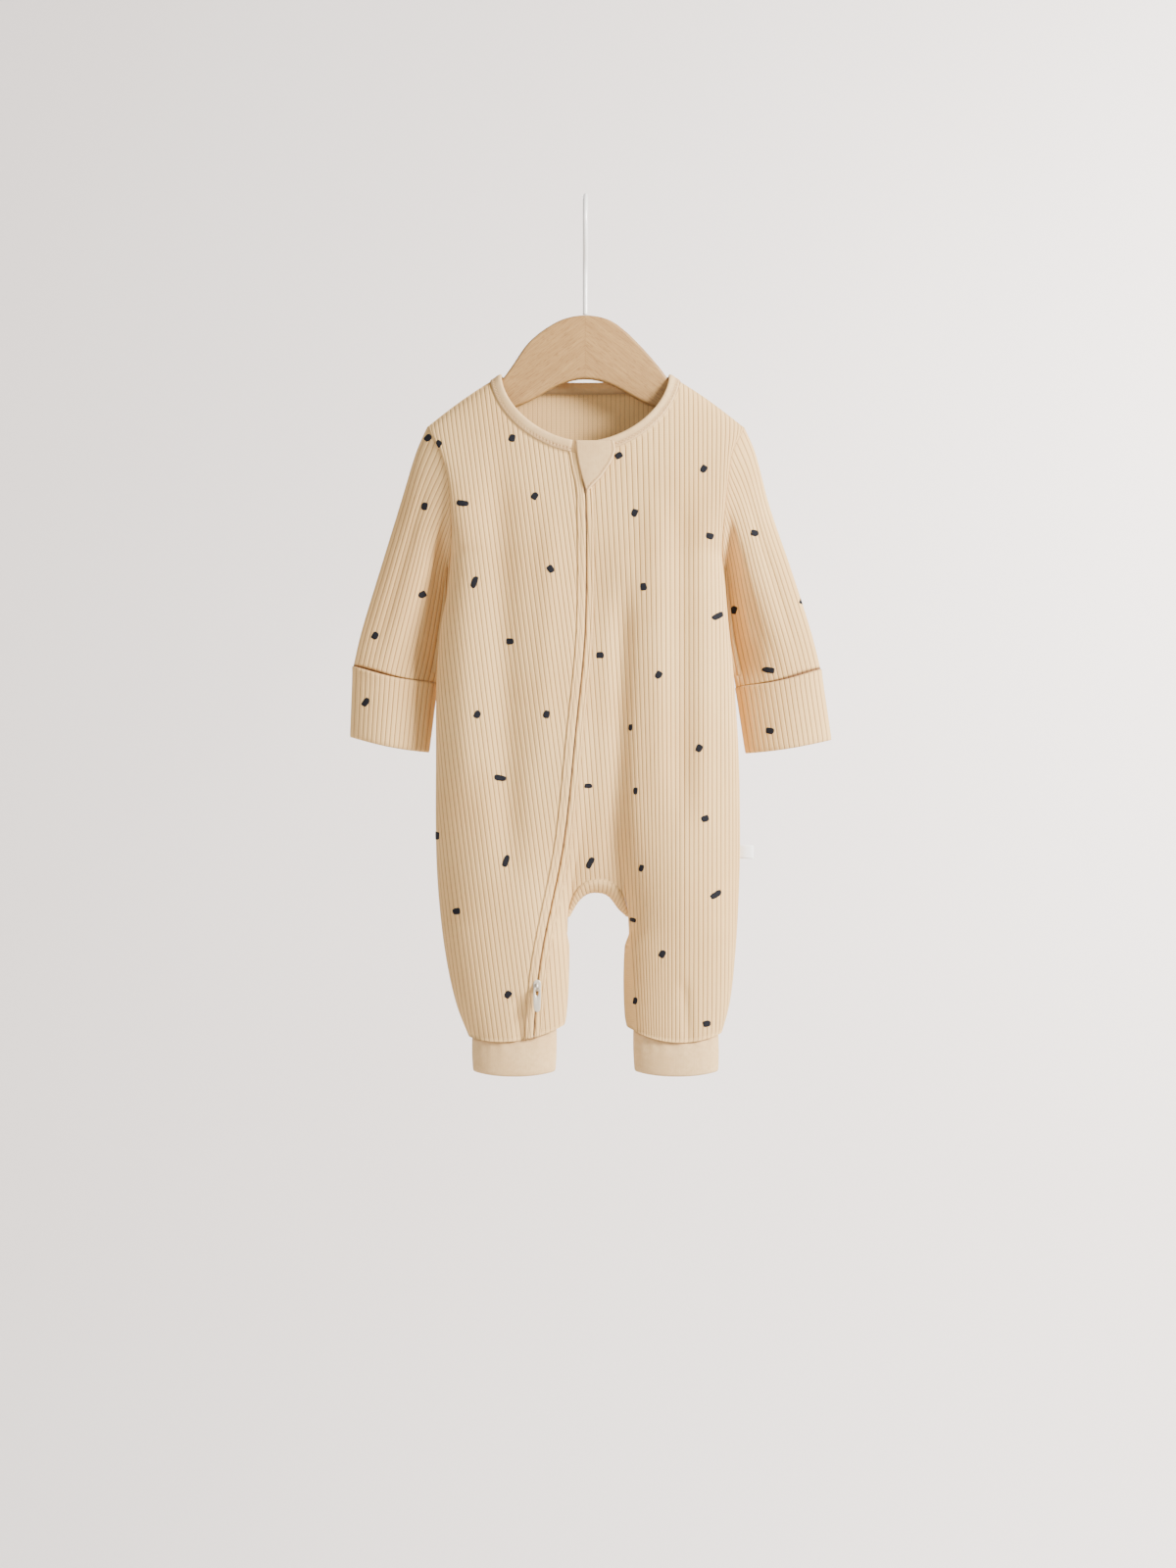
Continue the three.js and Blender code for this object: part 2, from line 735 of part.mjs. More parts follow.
// Point at a share of the length of a line of points.
function alongLine(points, share) {
  const lengths = [0];
  for (let i = 1; i < points.length; i += 1) {
    lengths.push(lengths[i - 1] + Math.hypot(...minus(points[i], points[i - 1])));
  }
  const wanted = share * lengths[lengths.length - 1];
  let i = 0;
  while (i < points.length - 2 && lengths[i + 1] < wanted) i += 1;
  const span = lengths[i + 1] - lengths[i] || 1;
  return mixPoint(points[i], points[i + 1], clamp((wanted - lengths[i]) / span, 0, 1));
}

// Outward normal of a surface given by a function of two shares, facing away from a middle point.
function normalOf(surface, u, v, middle) {
  const step = 0.004;
  const alongU = minus(surface(u + step, v), surface(u - step, v));
  const alongV = minus(surface(u, v + step), surface(u, v - step));
  const normal = unit(cross(alongU, alongV));
  const outward = minus(surface(u, v), middle);
  const facing = normal.reduce((sum, value, i) => sum + value * outward[i], 0);
  return facing < 0 ? normal.map((value) => -value) : normal;
}

// A sleeve is a flattened tube between its outer fold and its underarm fold. It starts at the
// armhole's edge, and turns from that upright loop to the level loop at the wrist.
function sleeveOf(rows, frontEdge, backEdge, outward) {
  const edgeOf = (column, part) => column[part].slice(0, ARMPIT_ROW + 1).map((p) => {
    const edge = outward < 0 ? leftEdge : rightEdge;
    const slope = (edge(p[2] + 1) - edge(p[2] - 1)) / 2;
    const away = unit([outward, 0, -outward * slope]);
    const wider = ARMHOLE_GAP.top * Math.exp(-(((p[2] - ARMHOLE_GAP.topZ) / ARMHOLE_GAP.reach) ** 2));
    return plus(p, away, ARMHOLE_GAP.seam + wider);
  });
  const loop = {};
  for (const part of ['outer', 'inner']) {
    loop[part] = { front: edgeOf(frontEdge, part), back: edgeOf(backEdge, part) };
  }
  const armhole = (part, side, share) => {
    const { front, back } = loop[part];
    if (share < 0.001) return mixPoint(front[0], back[0], 0.5);
    if (share > 0.999) return mixPoint(front[ARMPIT_ROW], back[ARMPIT_ROW], 0.5);
    return alongLine(side < 0 ? front : back, share);
  };
  const topOuter = armhole('outer', -1, 0);
  const topInner = armhole('outer', -1, 1);
  const table = [[0, ...topOuter, ...topInner, SLEEVE_DEPTH], ...rows];
  const point = (t, turn) => {
    const round = turn - Math.floor(turn);
    const side = round <= 0.5 ? -1 : 1;
    const across = round <= 0.5 ? 2 * round : 2 - 2 * round;
    const read = (column) => readTable(table, clamp(t, 0, 1), column);
    const outer = [read(1), read(2), read(3)];
    const inner = [read(4), read(5), read(6)];
    const chord = mixPoint(outer, inner, across);
    const start = minus(armhole('outer', side, across), mixPoint(topOuter, topInner, across));
    const open = smooth(t / SLEEVE_OPENS);
    const round01 = Math.pow(Math.max(Math.sin(Math.PI * across), 0), SLEEVE_ROUND);
    const fold = SLEEVE_FOLD.height * Math.exp(-(((across - mix(SLEEVE_FOLD.top, SLEEVE_FOLD.foot, t))
      / SLEEVE_FOLD.halfWidth) ** 2)) * smooth((1.05 - t) / 0.4);
    const depth = side * Math.max(read(7) * round01 + fold, 0);
    const wave = -SLEEVE_WAVE * Math.sin(Math.PI * across) * t * t;
    return plus(plus(chord, start, 1 - open), [0, depth * open, wave]);
  };
  const middle = (t) => mixPoint(point(t, 0), point(t, 0.5), 0.5);
  const normal = (t, turn) => normalOf(point, clamp(t, 0.01, 0.99), turn, middle(t));
  return { point, normal, armhole };
}

function sleeveMesh(name, shape) {
  const rings = [];
  for (const t of [0, ...SLEEVE_RIGHT.map((row) => row[0])]) {
    const outer = [];
    const inner = [];
    for (let k = 0; k < 2 * SLEEVE_RIBS; k += 1) {
      const turn = k / (2 * SLEEVE_RIBS);
      if (t === 0) {
        const [side, across] = turn <= 0.5 ? [-1, 2 * turn] : [1, 2 - 2 * turn];
        outer.push(shape.armhole('outer', side, across));
        inner.push(shape.armhole('inner', side, across));
      } else {
        const base = shape.point(t, turn);
        const normal = shape.normal(t, turn);
        outer.push(plus(base, normal, RIB_HEIGHT * (k % 2)));
        inner.push(plus(base, normal, -WALL));
      }
    }
    rings.push({ outer, inner });
  }
  return closeTube(name, 'rib', rings, INNER_STEP);
}

// A turned-over cuff continues the sleeve, standing a little proud of it.
function wristCuffMesh(name, shape, size) {
  const rings = [];
  const footPoint = (turn) => {
    const [side, across] = turn <= 0.5 ? [-1, 2 * turn] : [1, 2 - 2 * turn];
    const round = Math.pow(Math.sin(Math.PI * across), SLEEVE_ROUND);
    const chord = mixPoint(size.outer, size.inner, across);
    return plus(chord, [0, side * size.depth * round, -size.sag * Math.sin(Math.PI * across)]);
  };
  for (const share of [0, 0.5, 1]) {
    const outer = [];
    const inner = [];
    for (let k = 0; k < 2 * SLEEVE_RIBS; k += 1) {
      const turn = k / (2 * SLEEVE_RIBS);
      const top = plus(shape.point(1, turn), [0, 0, -SEAM_GAP - 0.05]);
      const base = mixPoint(top, footPoint(turn), share);
      const normal = shape.normal(1, turn);
      outer.push(plus(base, normal, WRIST.proud + RIB_HEIGHT * (k % 2)));
      inner.push(plus(base, normal, WRIST.proud - WRIST.wall));
    }
    rings.push({ outer, inner });
  }
  return closeTube(name, 'rib', rings, INNER_STEP);
}

const armColumns = {
  right: [columnsByPanel.front_right_panel[0], columnsByPanel.back_panel[0]],
  left: [columnsByPanel.front_left_panel.at(-1), columnsByPanel.back_panel.at(-1)],
};
const SLEEVES = {
  right: sleeveOf(SLEEVE_RIGHT, ...armColumns.right, -1),
  left: sleeveOf(SLEEVE_LEFT, ...armColumns.left, 1),
};
for (const hand of ['right', 'left']) {
  group.add(sleeveMesh(`sleeve_${hand}`, SLEEVES[hand]));
  group.add(wristCuffMesh(`wrist_cuff_${hand}`, SLEEVES[hand], WRIST[hand]));
}

// A short plain band below each hem, a little narrower than the leg.
function ankleCuffMesh(name, size) {
  const rings = [];
  for (const share of [0, 0.5, 1]) {
    const loopAt = (inset) => {
      const low = mix(size.top[0], size.bottom[0], share) + inset;
      const high = mix(size.top[1], size.bottom[1], share) - inset;
      const depth = mix(ANKLE.depthTop, ANKLE.depthBottom, share) - inset;
      return Array.from({ length: ANKLE.sides }, (none, k) => {
        const turn = (2 * Math.PI * k) / ANKLE.sides;
        const [cos, sin] = [Math.cos(turn), Math.sin(turn)];
        const x = mix(low, high, 0.5) + (high - low) / 2 * Math.sign(cos) * Math.abs(cos) ** 0.9;
        const y = depth * Math.sign(sin) * Math.abs(sin) ** 0.85;
        const top = hemHeight(x) - SEAM_GAP - ANKLE.sagGap;
        const foot = ANKLE.bottom - ANKLE.round * (sin * sin - 0.5);
        return [x, y, mix(top, foot, share)];
      });
    };
    rings.push({ outer: loopAt(0), inner: loopAt(ANKLE.wall) });
  }
  return closeTube(name, 'jersey', rings, 1);
}
group.add(ankleCuffMesh('ankle_cuff_right', ANKLE.right));
group.add(ankleCuffMesh('ankle_cuff_left', ANKLE.left));

// The gusset hangs between the front and back crotch seams. Its ribs run from front to back.
function gussetMesh() {
  const seam = (columns, part) => {
    const start = columns.findIndex((column) => column.kind === 'start');
    const end = columns.findIndex((column) => column.kind === 'end');
    return columns
      .filter((column, c) => c >= start && c <= end && (part === 'outer' || keepsInner(column, c)))
      .map((column) => column[part][TOP_ROWS.length - 1]);
  };
  const edges = {};
  for (const part of ['outer', 'inner']) {
    edges[part] = [seam(columnsByPanel.front_left_panel, part), seam(columnsByPanel.back_panel, part)];
  }
  const inward = (point) => {
    const [x, , z] = unit([CROTCH.x - point[0], 0, CROTCH.bottom - GUSSET.aim - point[2]]);
    return [x, 0, z];
  };
  const onSeam = (part, which, share) => {
    const point = alongLine(edges[part][which], mix(GUSSET.ends, 1 - GUSSET.ends, share));
    const nearEnd = 1 - smooth(Math.min(share, 1 - share) / GUSSET.endShare);
    return plus(point, inward(point), GUSSET.gap + GUSSET.endGap * nearEnd);
  };
  const surface = (share, back) => {
    const base = mixPoint(onSeam('outer', 0, share), onSeam('outer', 1, share), back);
    const hang = CROTCH.sag * 4 * back * (1 - back) * Math.pow(Math.sin(Math.PI * clamp(share, 0, 1)), 0.7);
    return plus(base, inward(base), hang);
  };
  const columns = [];
  for (let k = 0; k <= 2 * GUSSET.ribs; k += 1) {
    const share = k / (2 * GUSSET.ribs);
    const outer = [];
    const inner = [];
    for (let r = 0; r <= GUSSET.rows; r += 1) {
      const back = r / GUSSET.rows;
      if (r === 0 || r === GUSSET.rows) {
        outer.push(onSeam('outer', r === 0 ? 0 : 1, share));
        inner.push(onSeam('inner', r === 0 ? 0 : 1, share));
      } else {
        const point = surface(share, back);
        const above = plus(point, inward(point), -20);
        const normal = normalOf(surface, clamp(share, 0.01, 0.99), back, above);
        outer.push(plus(point, normal, RIB_HEIGHT * (k % 2)));
        inner.push(plus(point, normal, -WALL));
      }
    }
    columns.push({ outer, inner });
  }
  return closeWall('crotch_gusset', 'rib', columns, (column, c) => c % INNER_STEP === 0);
}
group.add(gussetMesh());

// The neck binding is a folded band along the neckline. It starts and ends beside the zip.
function bindingMesh() {
  const sections = [];
  const sectionAt = (side, turn) => {
    const power = side === 'front' ? NECKLINE.power : NECKLINE.power + 1;
    const drop = side === 'front' ? NECKLINE.frontDrop : NECKLINE.backDrop;
    const edge = (width) => {
      const cos = Math.cos(turn);
      const outset = width * (1 - BINDING.tighter * Math.abs(cos) ** 6);
      const z = NECK_Z - (drop + outset) * Math.max(Math.sin(turn), 0) ** (2 / power);
      let x = (NECKLINE.halfWidth + outset) * Math.sign(cos) * Math.abs(cos) ** (2 / power);
      while (width > 0 && necklineHeight(side, x, width) > shoulderHeight(x)) x -= Math.sign(x) * 0.05;
      return [x, Math.min(z, shoulderHeight(x))];
    };
    const open = edge(0);
    const seam = edge(BINDING_WIDTH);
    return BINDING_SECTION.map(([across, lift]) =>
      clothPoint(side, mix(open[0], seam[0], across), mix(open[1], seam[1], across), lift));
  };
  const { frontSteps, backSteps, ease, rightEnd, leftEnd } = BINDING;
  for (let i = frontSteps; i >= 0; i -= 1) {
    sections.push(sectionAt('front', Math.PI - (Math.PI / 2 - rightEnd) * (i / frontSteps) ** ease));
  }
  for (let i = 0; i <= backSteps; i += 1) {
    sections.push(sectionAt('back', Math.PI * (1 - smooth(i / backSteps))));
  }
  for (let i = 0; i <= frontSteps; i += 1) {
    sections.push(sectionAt('front', (Math.PI / 2 + leftEnd) * (i / frontSteps) ** ease));
  }
  return closeBar('neck_binding', 'jersey', sections);
}
group.add(bindingMesh());

// Folded facings on both sides of the slit, and the tape behind them.
function zipStripMesh(name, look, section) {
  const rows = [...TOP_ROWS, ...LEG_ROWS.map((row) => row + 1)];
  const sections = rows.map((row) => section.map(([aside, lift]) => {
    let x = 0;
    let z = -200;
    for (let turn = 0; turn < SETTLE_TURNS; turn += 1) {
      x = zipLine(z) + aside;
      const top = panelTop('front', x) - STRIP_INSET;
      z = rowHeight(row, x, aside > 0, top, hemHeight(x) + STRIP_INSET);
    }
    return clothPoint('front', x, z, lift);
  }));
  return closeBar(name, look, sections);
}
const facingSection = (seam, fold) => [
  [fold, 0],
  [mix(fold, seam, 0.15), FACING_PROUD],
  [mix(fold, seam, 0.85), FACING_PROUD],
  [seam, 0],
  [seam, -FACING_BACK],
  [fold, -FACING_BACK],
];
const tapePlaces = [-SLIT - FACING_RIGHT, -SLIT, SLIT, SLIT + FACING_LEFT];
const tapeSection = [
  ...tapePlaces.map((aside) => [aside, TAPE_BACK]),
  ...tapePlaces.map((aside) => [aside, TAPE_BACK - TAPE_THICKNESS]).reverse(),
];
group.add(zipStripMesh('zip_facing_right', 'rib', facingSection(-SLIT - FACING_RIGHT, -SLIT)));
group.add(zipStripMesh('zip_facing_left', 'rib', facingSection(SLIT + FACING_LEFT, SLIT).reverse()));
group.add(zipStripMesh('zip_tape', 'tape', tapeSection));

// The chin guard is a shield of plain cloth over the top of the zip.
function guardMesh() {
  const columns = [];
  const steps = 6;
  for (let c = 0; c <= steps; c += 1) {
    const outer = [];
    const inner = [];
    for (const [z, left, right] of GUARD) {
      const x = mix(left, right, c / steps);
      const edge = c === 0 || c === steps || z === GUARD.at(-1)[0];
      outer.push(clothPoint('front', x, z, GUARD_BACK + GUARD_THICKNESS * (edge ? 0.6 : 1)));
      inner.push(clothPoint('front', x, z, GUARD_BACK));
    }
    columns.push({ outer, inner });
  }
  return closeWall('chin_guard', 'jersey', columns, () => true);
}
group.add(guardMesh());

// A shape drawn from points, with an optional round or square hole.
function shapeOf(points, hole = null) {
  const shape = new THREE.Shape(points.map(([a, b]) => new THREE.Vector2(a, b)));
  if (hole) shape.holes.push(new THREE.Path(hole.map(([a, b]) => new THREE.Vector2(a, b))));
  return shape;
}

function circlePoints(a, b, radius, sides, from = 0, to = 2 * Math.PI) {
  const whole = to - from > 6.28;
  return Array.from({ length: whole ? sides : sides + 1 }, (none, i) => {
    const turn = mix(from, to, i / sides);
    return [a + radius * Math.cos(turn), b + radius * Math.sin(turn)];
  });
}

// Extrudes a shape through a width, with its middle on the shape's own plane.
function extruded(shape, width, bevel) {
  const geometry = new THREE.ExtrudeGeometry(shape, {
    depth: width - 2 * bevel,
    bevelEnabled: bevel > 0,
    bevelThickness: bevel,
    bevelSize: bevel,
    bevelOffset: -bevel,
    bevelSegments: BEVEL_STEPS,
  });
  return geometry.translate(0, 0, bevel - width / 2);
}

// Joins overlapping pieces into one closed body.
function joined(name, look, geometries) {
  const solids = geometries.map((geometry) => {
    const merged = mergeVertices(geometry.deleteAttribute('uv').deleteAttribute('normal'), 1e-4);
    return new wasm.Manifold(new wasm.Mesh({
      numProp: 3,
      vertProperties: new Float32Array(merged.attributes.position.array),
      triVerts: new Uint32Array(merged.index.array),
    }));
  });
  const whole = wasm.Manifold.union(solids).getMesh();
  const geometry = new THREE.BufferGeometry();
  geometry.setAttribute('position', new THREE.BufferAttribute(whole.vertProperties, 3));
  geometry.setIndex(Array.from(whole.triVerts));
  geometry.computeVertexNormals();
  return named(name, look, geometry);
}

function named(name, look, geometry) {
  const made = new THREE.Mesh(geometry, MATERIALS[look]);
  made.name = name;
  return made;
}

// The slider lies on the facings. A round lug on it holds the tab's top bar.
const sliderX = zipLine(SLIDER.z);
const sliderTop = SLIDER.z + SLIDER.above;
const underSlider = [-0.5, 0, 0.5].flatMap((a) => [0, 0.5, 1].map((c) =>
  clothPoint('front', sliderX + a * SLIDER.width, sliderTop - c * SLIDER.length, FACING_PROUD)[1]));
const sliderBack = Math.min(...underSlider) - SEAM_GAP;
const sliderFront = sliderBack - SLIDER.thickness;
const lugY = sliderFront - SLIDER.lugOut;

function sliderMesh() {
  const foot = sliderTop - SLIDER.length;
  const meet = Math.asin(Math.min(SLIDER.lugOut / SLIDER.lugRadius, 1));
  const lug = circlePoints(lugY, SLIDER.z, SLIDER.lugRadius, 16, Math.PI / 2 - meet, 1.5 * Math.PI + meet);
  const side = shapeOf([[sliderFront + 0.4, SLIDER.z + 1], ...lug, [sliderFront + 0.4, SLIDER.z - 1]],
    circlePoints(lugY, SLIDER.z, SLIDER.holeRadius, 12));
  const loop = extruded(side, SLIDER.lugWidth, 0);
  loop.rotateX(Math.PI / 2);
  loop.rotateZ(Math.PI / 2);
  loop.translate(sliderX, 0, 0);
  const half = SLIDER.width / 2;
  const front = shapeOf([
    [-half * 0.7, foot], [half * 0.7, foot], [half, foot + 1.2], [half, sliderTop - 2.5],
    [half * 0.5, sliderTop], [-half * 0.5, sliderTop], [-half, sliderTop - 2.5], [-half, foot + 1.2],
  ]);
  const plate = extruded(front, SLIDER.thickness, 0.35);
  plate.rotateX(Math.PI / 2);
  plate.translate(sliderX, (sliderBack + sliderFront) / 2, 0);
  return joined('zip_slider', 'zip', [plate, loop]);
}

// The tab hangs from the lug by the bar above its eye.
function pullMesh() {
  const half = PULL.width / 2;
  const top = SLIDER.z + PULL.bar / 2;
  const foot = top - PULL.length;
  const outline = [
    [-half * 0.55, foot], [half * 0.55, foot], [half * 0.9, foot + 1], [half, foot + 3],
    [half, top - 0.5], [half - 0.5, top], [-half + 0.5, top], [-half, top - 0.5],
    [-half, foot + 3], [-half * 0.9, foot + 1],
  ];
  const eyeHalf = half - PULL.arm;
  const eyeTop = SLIDER.z - PULL.bar / 2;
  const eyeFoot = SLIDER.z - PULL.eyeReach;
  const eye = [[-eyeHalf, eyeFoot], [-eyeHalf, eyeTop], [eyeHalf, eyeTop], [eyeHalf, eyeFoot]];
  const tab = extruded(shapeOf(outline, eye), PULL.thickness, 0);
  tab.rotateX(Math.PI / 2);
  return named('zip_pull', 'zip', tab.translate(sliderX, lugY, 0));
}
group.add(sliderMesh());
group.add(pullMesh());

// A folded label sewn into the side seam, with its fold outwards.
function labelMesh() {
  const start = Math.max(rightEdge(LABEL.top), rightEdge(LABEL.foot)) + SEAM_GAP;
  const sections = LABEL.shape.map(([share, half, y]) => {
    const x = mix(start, LABEL.reach, share);
    const drop = LABEL.droop * share;
    return [
      [x, y - half, LABEL.top - drop],
      [x, y + half, LABEL.top - drop],
      [x, y + half, LABEL.foot - drop],
      [x, y - half, LABEL.foot - drop],
    ];
  });
  return closeBar('side_label', 'label', sections);
}
group.add(labelMesh());

// The hanger is cut from a board. Under the cloth its upper edge follows the shoulders.
function hangerMesh() {
  const upper = [];
  for (let x = HANGER.reach; x > HANGER.neck; x -= HANGER.step) {
    const dip = HANGER.dip * Math.exp(-(((x - HANGER.dipX) / HANGER.dipReach) ** 2));
    const atTip = HANGER.tipDrop * smooth((x - HANGER.reach + 12) / 12);
    upper.push([x, shoulderHeight(x) - HANGER.under - dip - atTip]);
  }
  const mirrored = (points) => points.map(([x, z]) => [-x, z]).reverse();
  const rightSide = [...HANGER.foot, ...HANGER.tip, ...upper, ...HANGER.neckRight];
  const leftSide = [...HANGER.foot, ...HANGER.tip, ...upper, ...HANGER.neckLeft];
  const outline = [...rightSide, HANGER.top, ...mirrored(leftSide)];
  const bodyShape = shapeOf(outline);
  const board = extruded(bodyShape, HANGER.thickness, HANGER.bevel);
  board.rotateX(Math.PI / 2);
  return named('hanger_body', 'wood', board);
}
group.add(hangerMesh());

// The hook is a bent wire in the middle plane, across the rail.
function hookMesh() {
  const radius = (HOOK.rail + HOOK.wire) / 2;
  const centre = -HOOK.rail / 2;
  const arc = Array.from({ length: HOOK.arcSteps + 1 }, (none, i) => {
    const turn = Math.PI * (1 - i / HOOK.arcSteps);
    return [radius * Math.cos(turn), centre + radius * Math.sin(turn)];
  });
  const path = [...HOOK.stem, ...arc, ...HOOK.end];
  const sections = path.map(([y, z], i) => {
    const before = path[Math.max(i - 1, 0)];
    const after = path[Math.min(i + 1, path.length - 1)];
    const along = unit([after[0] - before[0], after[1] - before[1]]);
    return Array.from({ length: HOOK.sides }, (none, k) => {
      const turn = (2 * Math.PI * k) / HOOK.sides;
      const across = (HOOK.wire / 2) * Math.sin(turn);
      return [(HOOK.wire / 2) * Math.cos(turn), y - along[1] * across, z + along[0] * across];
    });
  });
  return closeBar('hanger_hook', 'hook', sections);
}
group.add(hookMesh());

export default group;
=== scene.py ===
import math

import bpy
import numpy as np
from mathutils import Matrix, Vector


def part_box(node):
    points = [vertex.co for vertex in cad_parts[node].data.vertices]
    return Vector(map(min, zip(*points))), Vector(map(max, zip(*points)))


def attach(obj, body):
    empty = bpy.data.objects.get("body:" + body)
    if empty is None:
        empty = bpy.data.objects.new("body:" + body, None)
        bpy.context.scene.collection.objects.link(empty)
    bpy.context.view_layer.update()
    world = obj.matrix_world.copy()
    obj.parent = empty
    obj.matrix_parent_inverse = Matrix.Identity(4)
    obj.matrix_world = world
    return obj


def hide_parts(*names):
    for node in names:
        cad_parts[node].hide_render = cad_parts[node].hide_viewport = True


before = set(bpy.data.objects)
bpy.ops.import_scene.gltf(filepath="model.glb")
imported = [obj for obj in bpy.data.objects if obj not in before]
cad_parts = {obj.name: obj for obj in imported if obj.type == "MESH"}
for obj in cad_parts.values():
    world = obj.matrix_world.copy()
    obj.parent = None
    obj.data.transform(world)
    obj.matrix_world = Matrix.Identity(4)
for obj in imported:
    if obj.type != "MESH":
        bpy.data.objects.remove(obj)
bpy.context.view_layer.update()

MM = 0.001

# Cloth
WALL = 1.5
PITCH = 3.33
RIB_HEIGHT = 0.42
HALF_GAP = 0.08
NORMAL_STEP = 0.05
# Places across one rib, from groove to groove, and the share of the rib's height there
RIB_STEPS = [0, 0.06, 0.12, 0.22, 0.5, 0.78, 0.88, 0.94, 1]
RIB_SHARES = [0, 0.38, 0.8, 0.97, 1, 0.97, 0.8, 0.38, 0]
PER_RIB = len(RIB_STEPS) - 1

# Shoulders and neck
NECK_Z = -126
NECK_HALF_WIDTH = 60
SHOULDER_SLOPE = 0.7
SHOULDER_LENGTH = 52
SHOULDER_ARCH = 1.6
SHOULDER_ROUND = 90
BINDING_WIDTH = 8.4
SEAM_TUCK = 0.1
NECK_DROP = {"front": 49.5, "back": 4}
NECK_POWER = {"front": 1.8, "back": 2.8}

# Crotch seam: an arch between the inseams
CROTCH_X = 9.25
CROTCH_HALF = 22.25
CROTCH_Z = -522
CROTCH_RISE = 36
CROTCH_POWER = 2.4
CROTCH_SAG = 9
LEG_START = -380
CROTCH_ENDS = (CROTCH_X - CROTCH_HALF, CROTCH_X + CROTCH_HALF)

# Each hem's middle, lowest height and curve
HEMS = {"right": (-60, -601, 0.0056), "left": (68, -601.5, 0.0072)}

# Zip
FACING_RIGHT = 6.0
FACING_LEFT = 4.8
SLIT = 0.55
TAPE_BACK = -1.9

# Height, then the left and right edge of the body
BODY_EDGE = [
    [-150, -112.5, 113.5],
    [-163, -112.5, 113.5],
    [-181, -103.5, 105],
    [-201, -97.5, 101.5],
    [-236, -95, 98],
    [-253, -96, 97.5],
    [-278, -98, 100],
    [-306, -103, 102.5],
    [-341, -106, 106],
    [-398, -106.5, 109.5],
    [-460, -106.5, 110.5],
    [-500, -104.5, 109.5],
    [-541, -99.5, 107],
    [-575, -92, 103],
    [-602, -81.5, 95.5],
]

# Height, then the depth of the front and of the back at the middle
BODY_DEPTH = [
    [-126, 20, 18],
    [-200, 22, 19],
    [-260, 25, 20],
    [-330, 28, 22],
    [-400, 30, 24],
    [-460, 29, 26],
    [-522, 26, 25],
    [-560, 23, 23],
    [-602, 17, 17],
]

# Height, then half the depth of the armhole
ARMHOLE = [[-150, 16], [-200, 16], [-228, 14], [-243, 9], [-250, 4], [-253, 0], [-260, 0]]
ARMPIT_Z = -253

# Height, then the inseam of the wearer's right leg and of the left leg
INSEAM = [
    [-380, 8, 10.5],
    [-440, 0, 19],
    [-486, -9, 27.5],
    [-522, -13, 31.5],
    [-535, -11.2, 28],
    [-583, -13.3, 28],
    [-602, -18.5, 32],
]

# Height, then the x of the zip's slit
ZIP = [
    [-160, -9],
    [-176, -6.3],
    [-192, -3.4],
    [-206, -0.7],
    [-218, 0.4],
    [-278, 0.7],
    [-320, -0.7],
    [-376, -6.3],
    [-460, -15.4],
    [-530, -29.4],
    [-558, -33.6],
    [-602, -37],
]

# A soft fold: x and z of its two ends, its half width and its height
FRONT_FOLDS = [
    [27, -290, 22, -480, 8.5, -6],
    [6, -260, 9, -470, 13, -3.5],
    [-62, -205, -54, -470, 11, -5],
    [-89, -215, -86, -420, 10, 3.4],
    [-24, -230, -30, -400, 9, 1.6],
    [50, -215, 52, -430, 10, 2.2],
    [68, -230, 68, -430, 8, -2.4],
    [86, -230, 84, -440, 9, 2.8],
    [-48, -570, -46, -602, 4, -2.4],
    [70, -560, 74, -602, 4, -2],
]
BACK_FOLDS = [
    [8, -300, 9, -480, 12, -4],
    [-52, -220, -56, -440, 13, -2.2],
    [60, -250, 52, -470, 12, -2.4],
    [0, -160, 2, -280, 16, 1.5],
    [-50, -570, -52, -602, 4, -2],
    [66, -565, 64, -602, 4, -2.2],
]
SIDES = {
    "front": (-1, 1, 3.2, FRONT_FOLDS),
    "back": (1, 2, 2.4, BACK_FOLDS),
}


def mix(a, b, share):
    return a + (b - a) * share


def smooth(value):
    share = np.clip(value, 0, 1)
    return share * share * (3 - 2 * share)


def bow(value, power):
    return np.maximum(1 - np.abs(value) ** power, 0) ** (1 / power)


def unit(vectors):
    size = np.linalg.norm(vectors, axis=-1, keepdims=True)
    return vectors / np.maximum(size, 1e-9)


def point(x, y, z):
    return np.stack(np.broadcast_arrays(x, y, z), -1).astype(float)


def read(rows, at, column):
    """Reads a table along its first column, with a smooth curve through its rows."""
    rows = np.array(sorted(rows))
    x, y = rows[:, 0], rows[:, column]
    last = len(x) - 1
    before = np.maximum(np.arange(len(x)) - 1, 0)
    after = np.minimum(np.arange(len(x)) + 1, last)
    slope = (y[after] - y[before]) / (x[after] - x[before])
    i = np.clip(np.searchsorted(x, at, side="right") - 1, 0, last - 1)
    span = x[i + 1] - x[i]
    t = np.clip((at - x[i]) / span, 0, 1)
    ends = y[i] * (2 * t**3 - 3 * t**2 + 1) + y[i + 1] * (3 * t**2 - 2 * t**3)
    return ends + span * (slope[i] * (t**3 - 2 * t**2 + t) + slope[i + 1] * (t**3 - t**2))


def left_edge(z):
    return read(BODY_EDGE, z, 1)


def right_edge(z):
    return read(BODY_EDGE, z, 2)


def inseam(z, leg):
    return read(INSEAM, z, 1 if leg == "right" else 2)


def zip_line(z):
    return read(ZIP, z, 1)


def shoulder_height(x):
    out = np.abs(x) - NECK_HALF_WIDTH
    arch = SHOULDER_ARCH * np.sin(np.pi * np.clip(out / SHOULDER_LENGTH, 0, 1))
    return NECK_Z - SHOULDER_SLOPE * out + arch


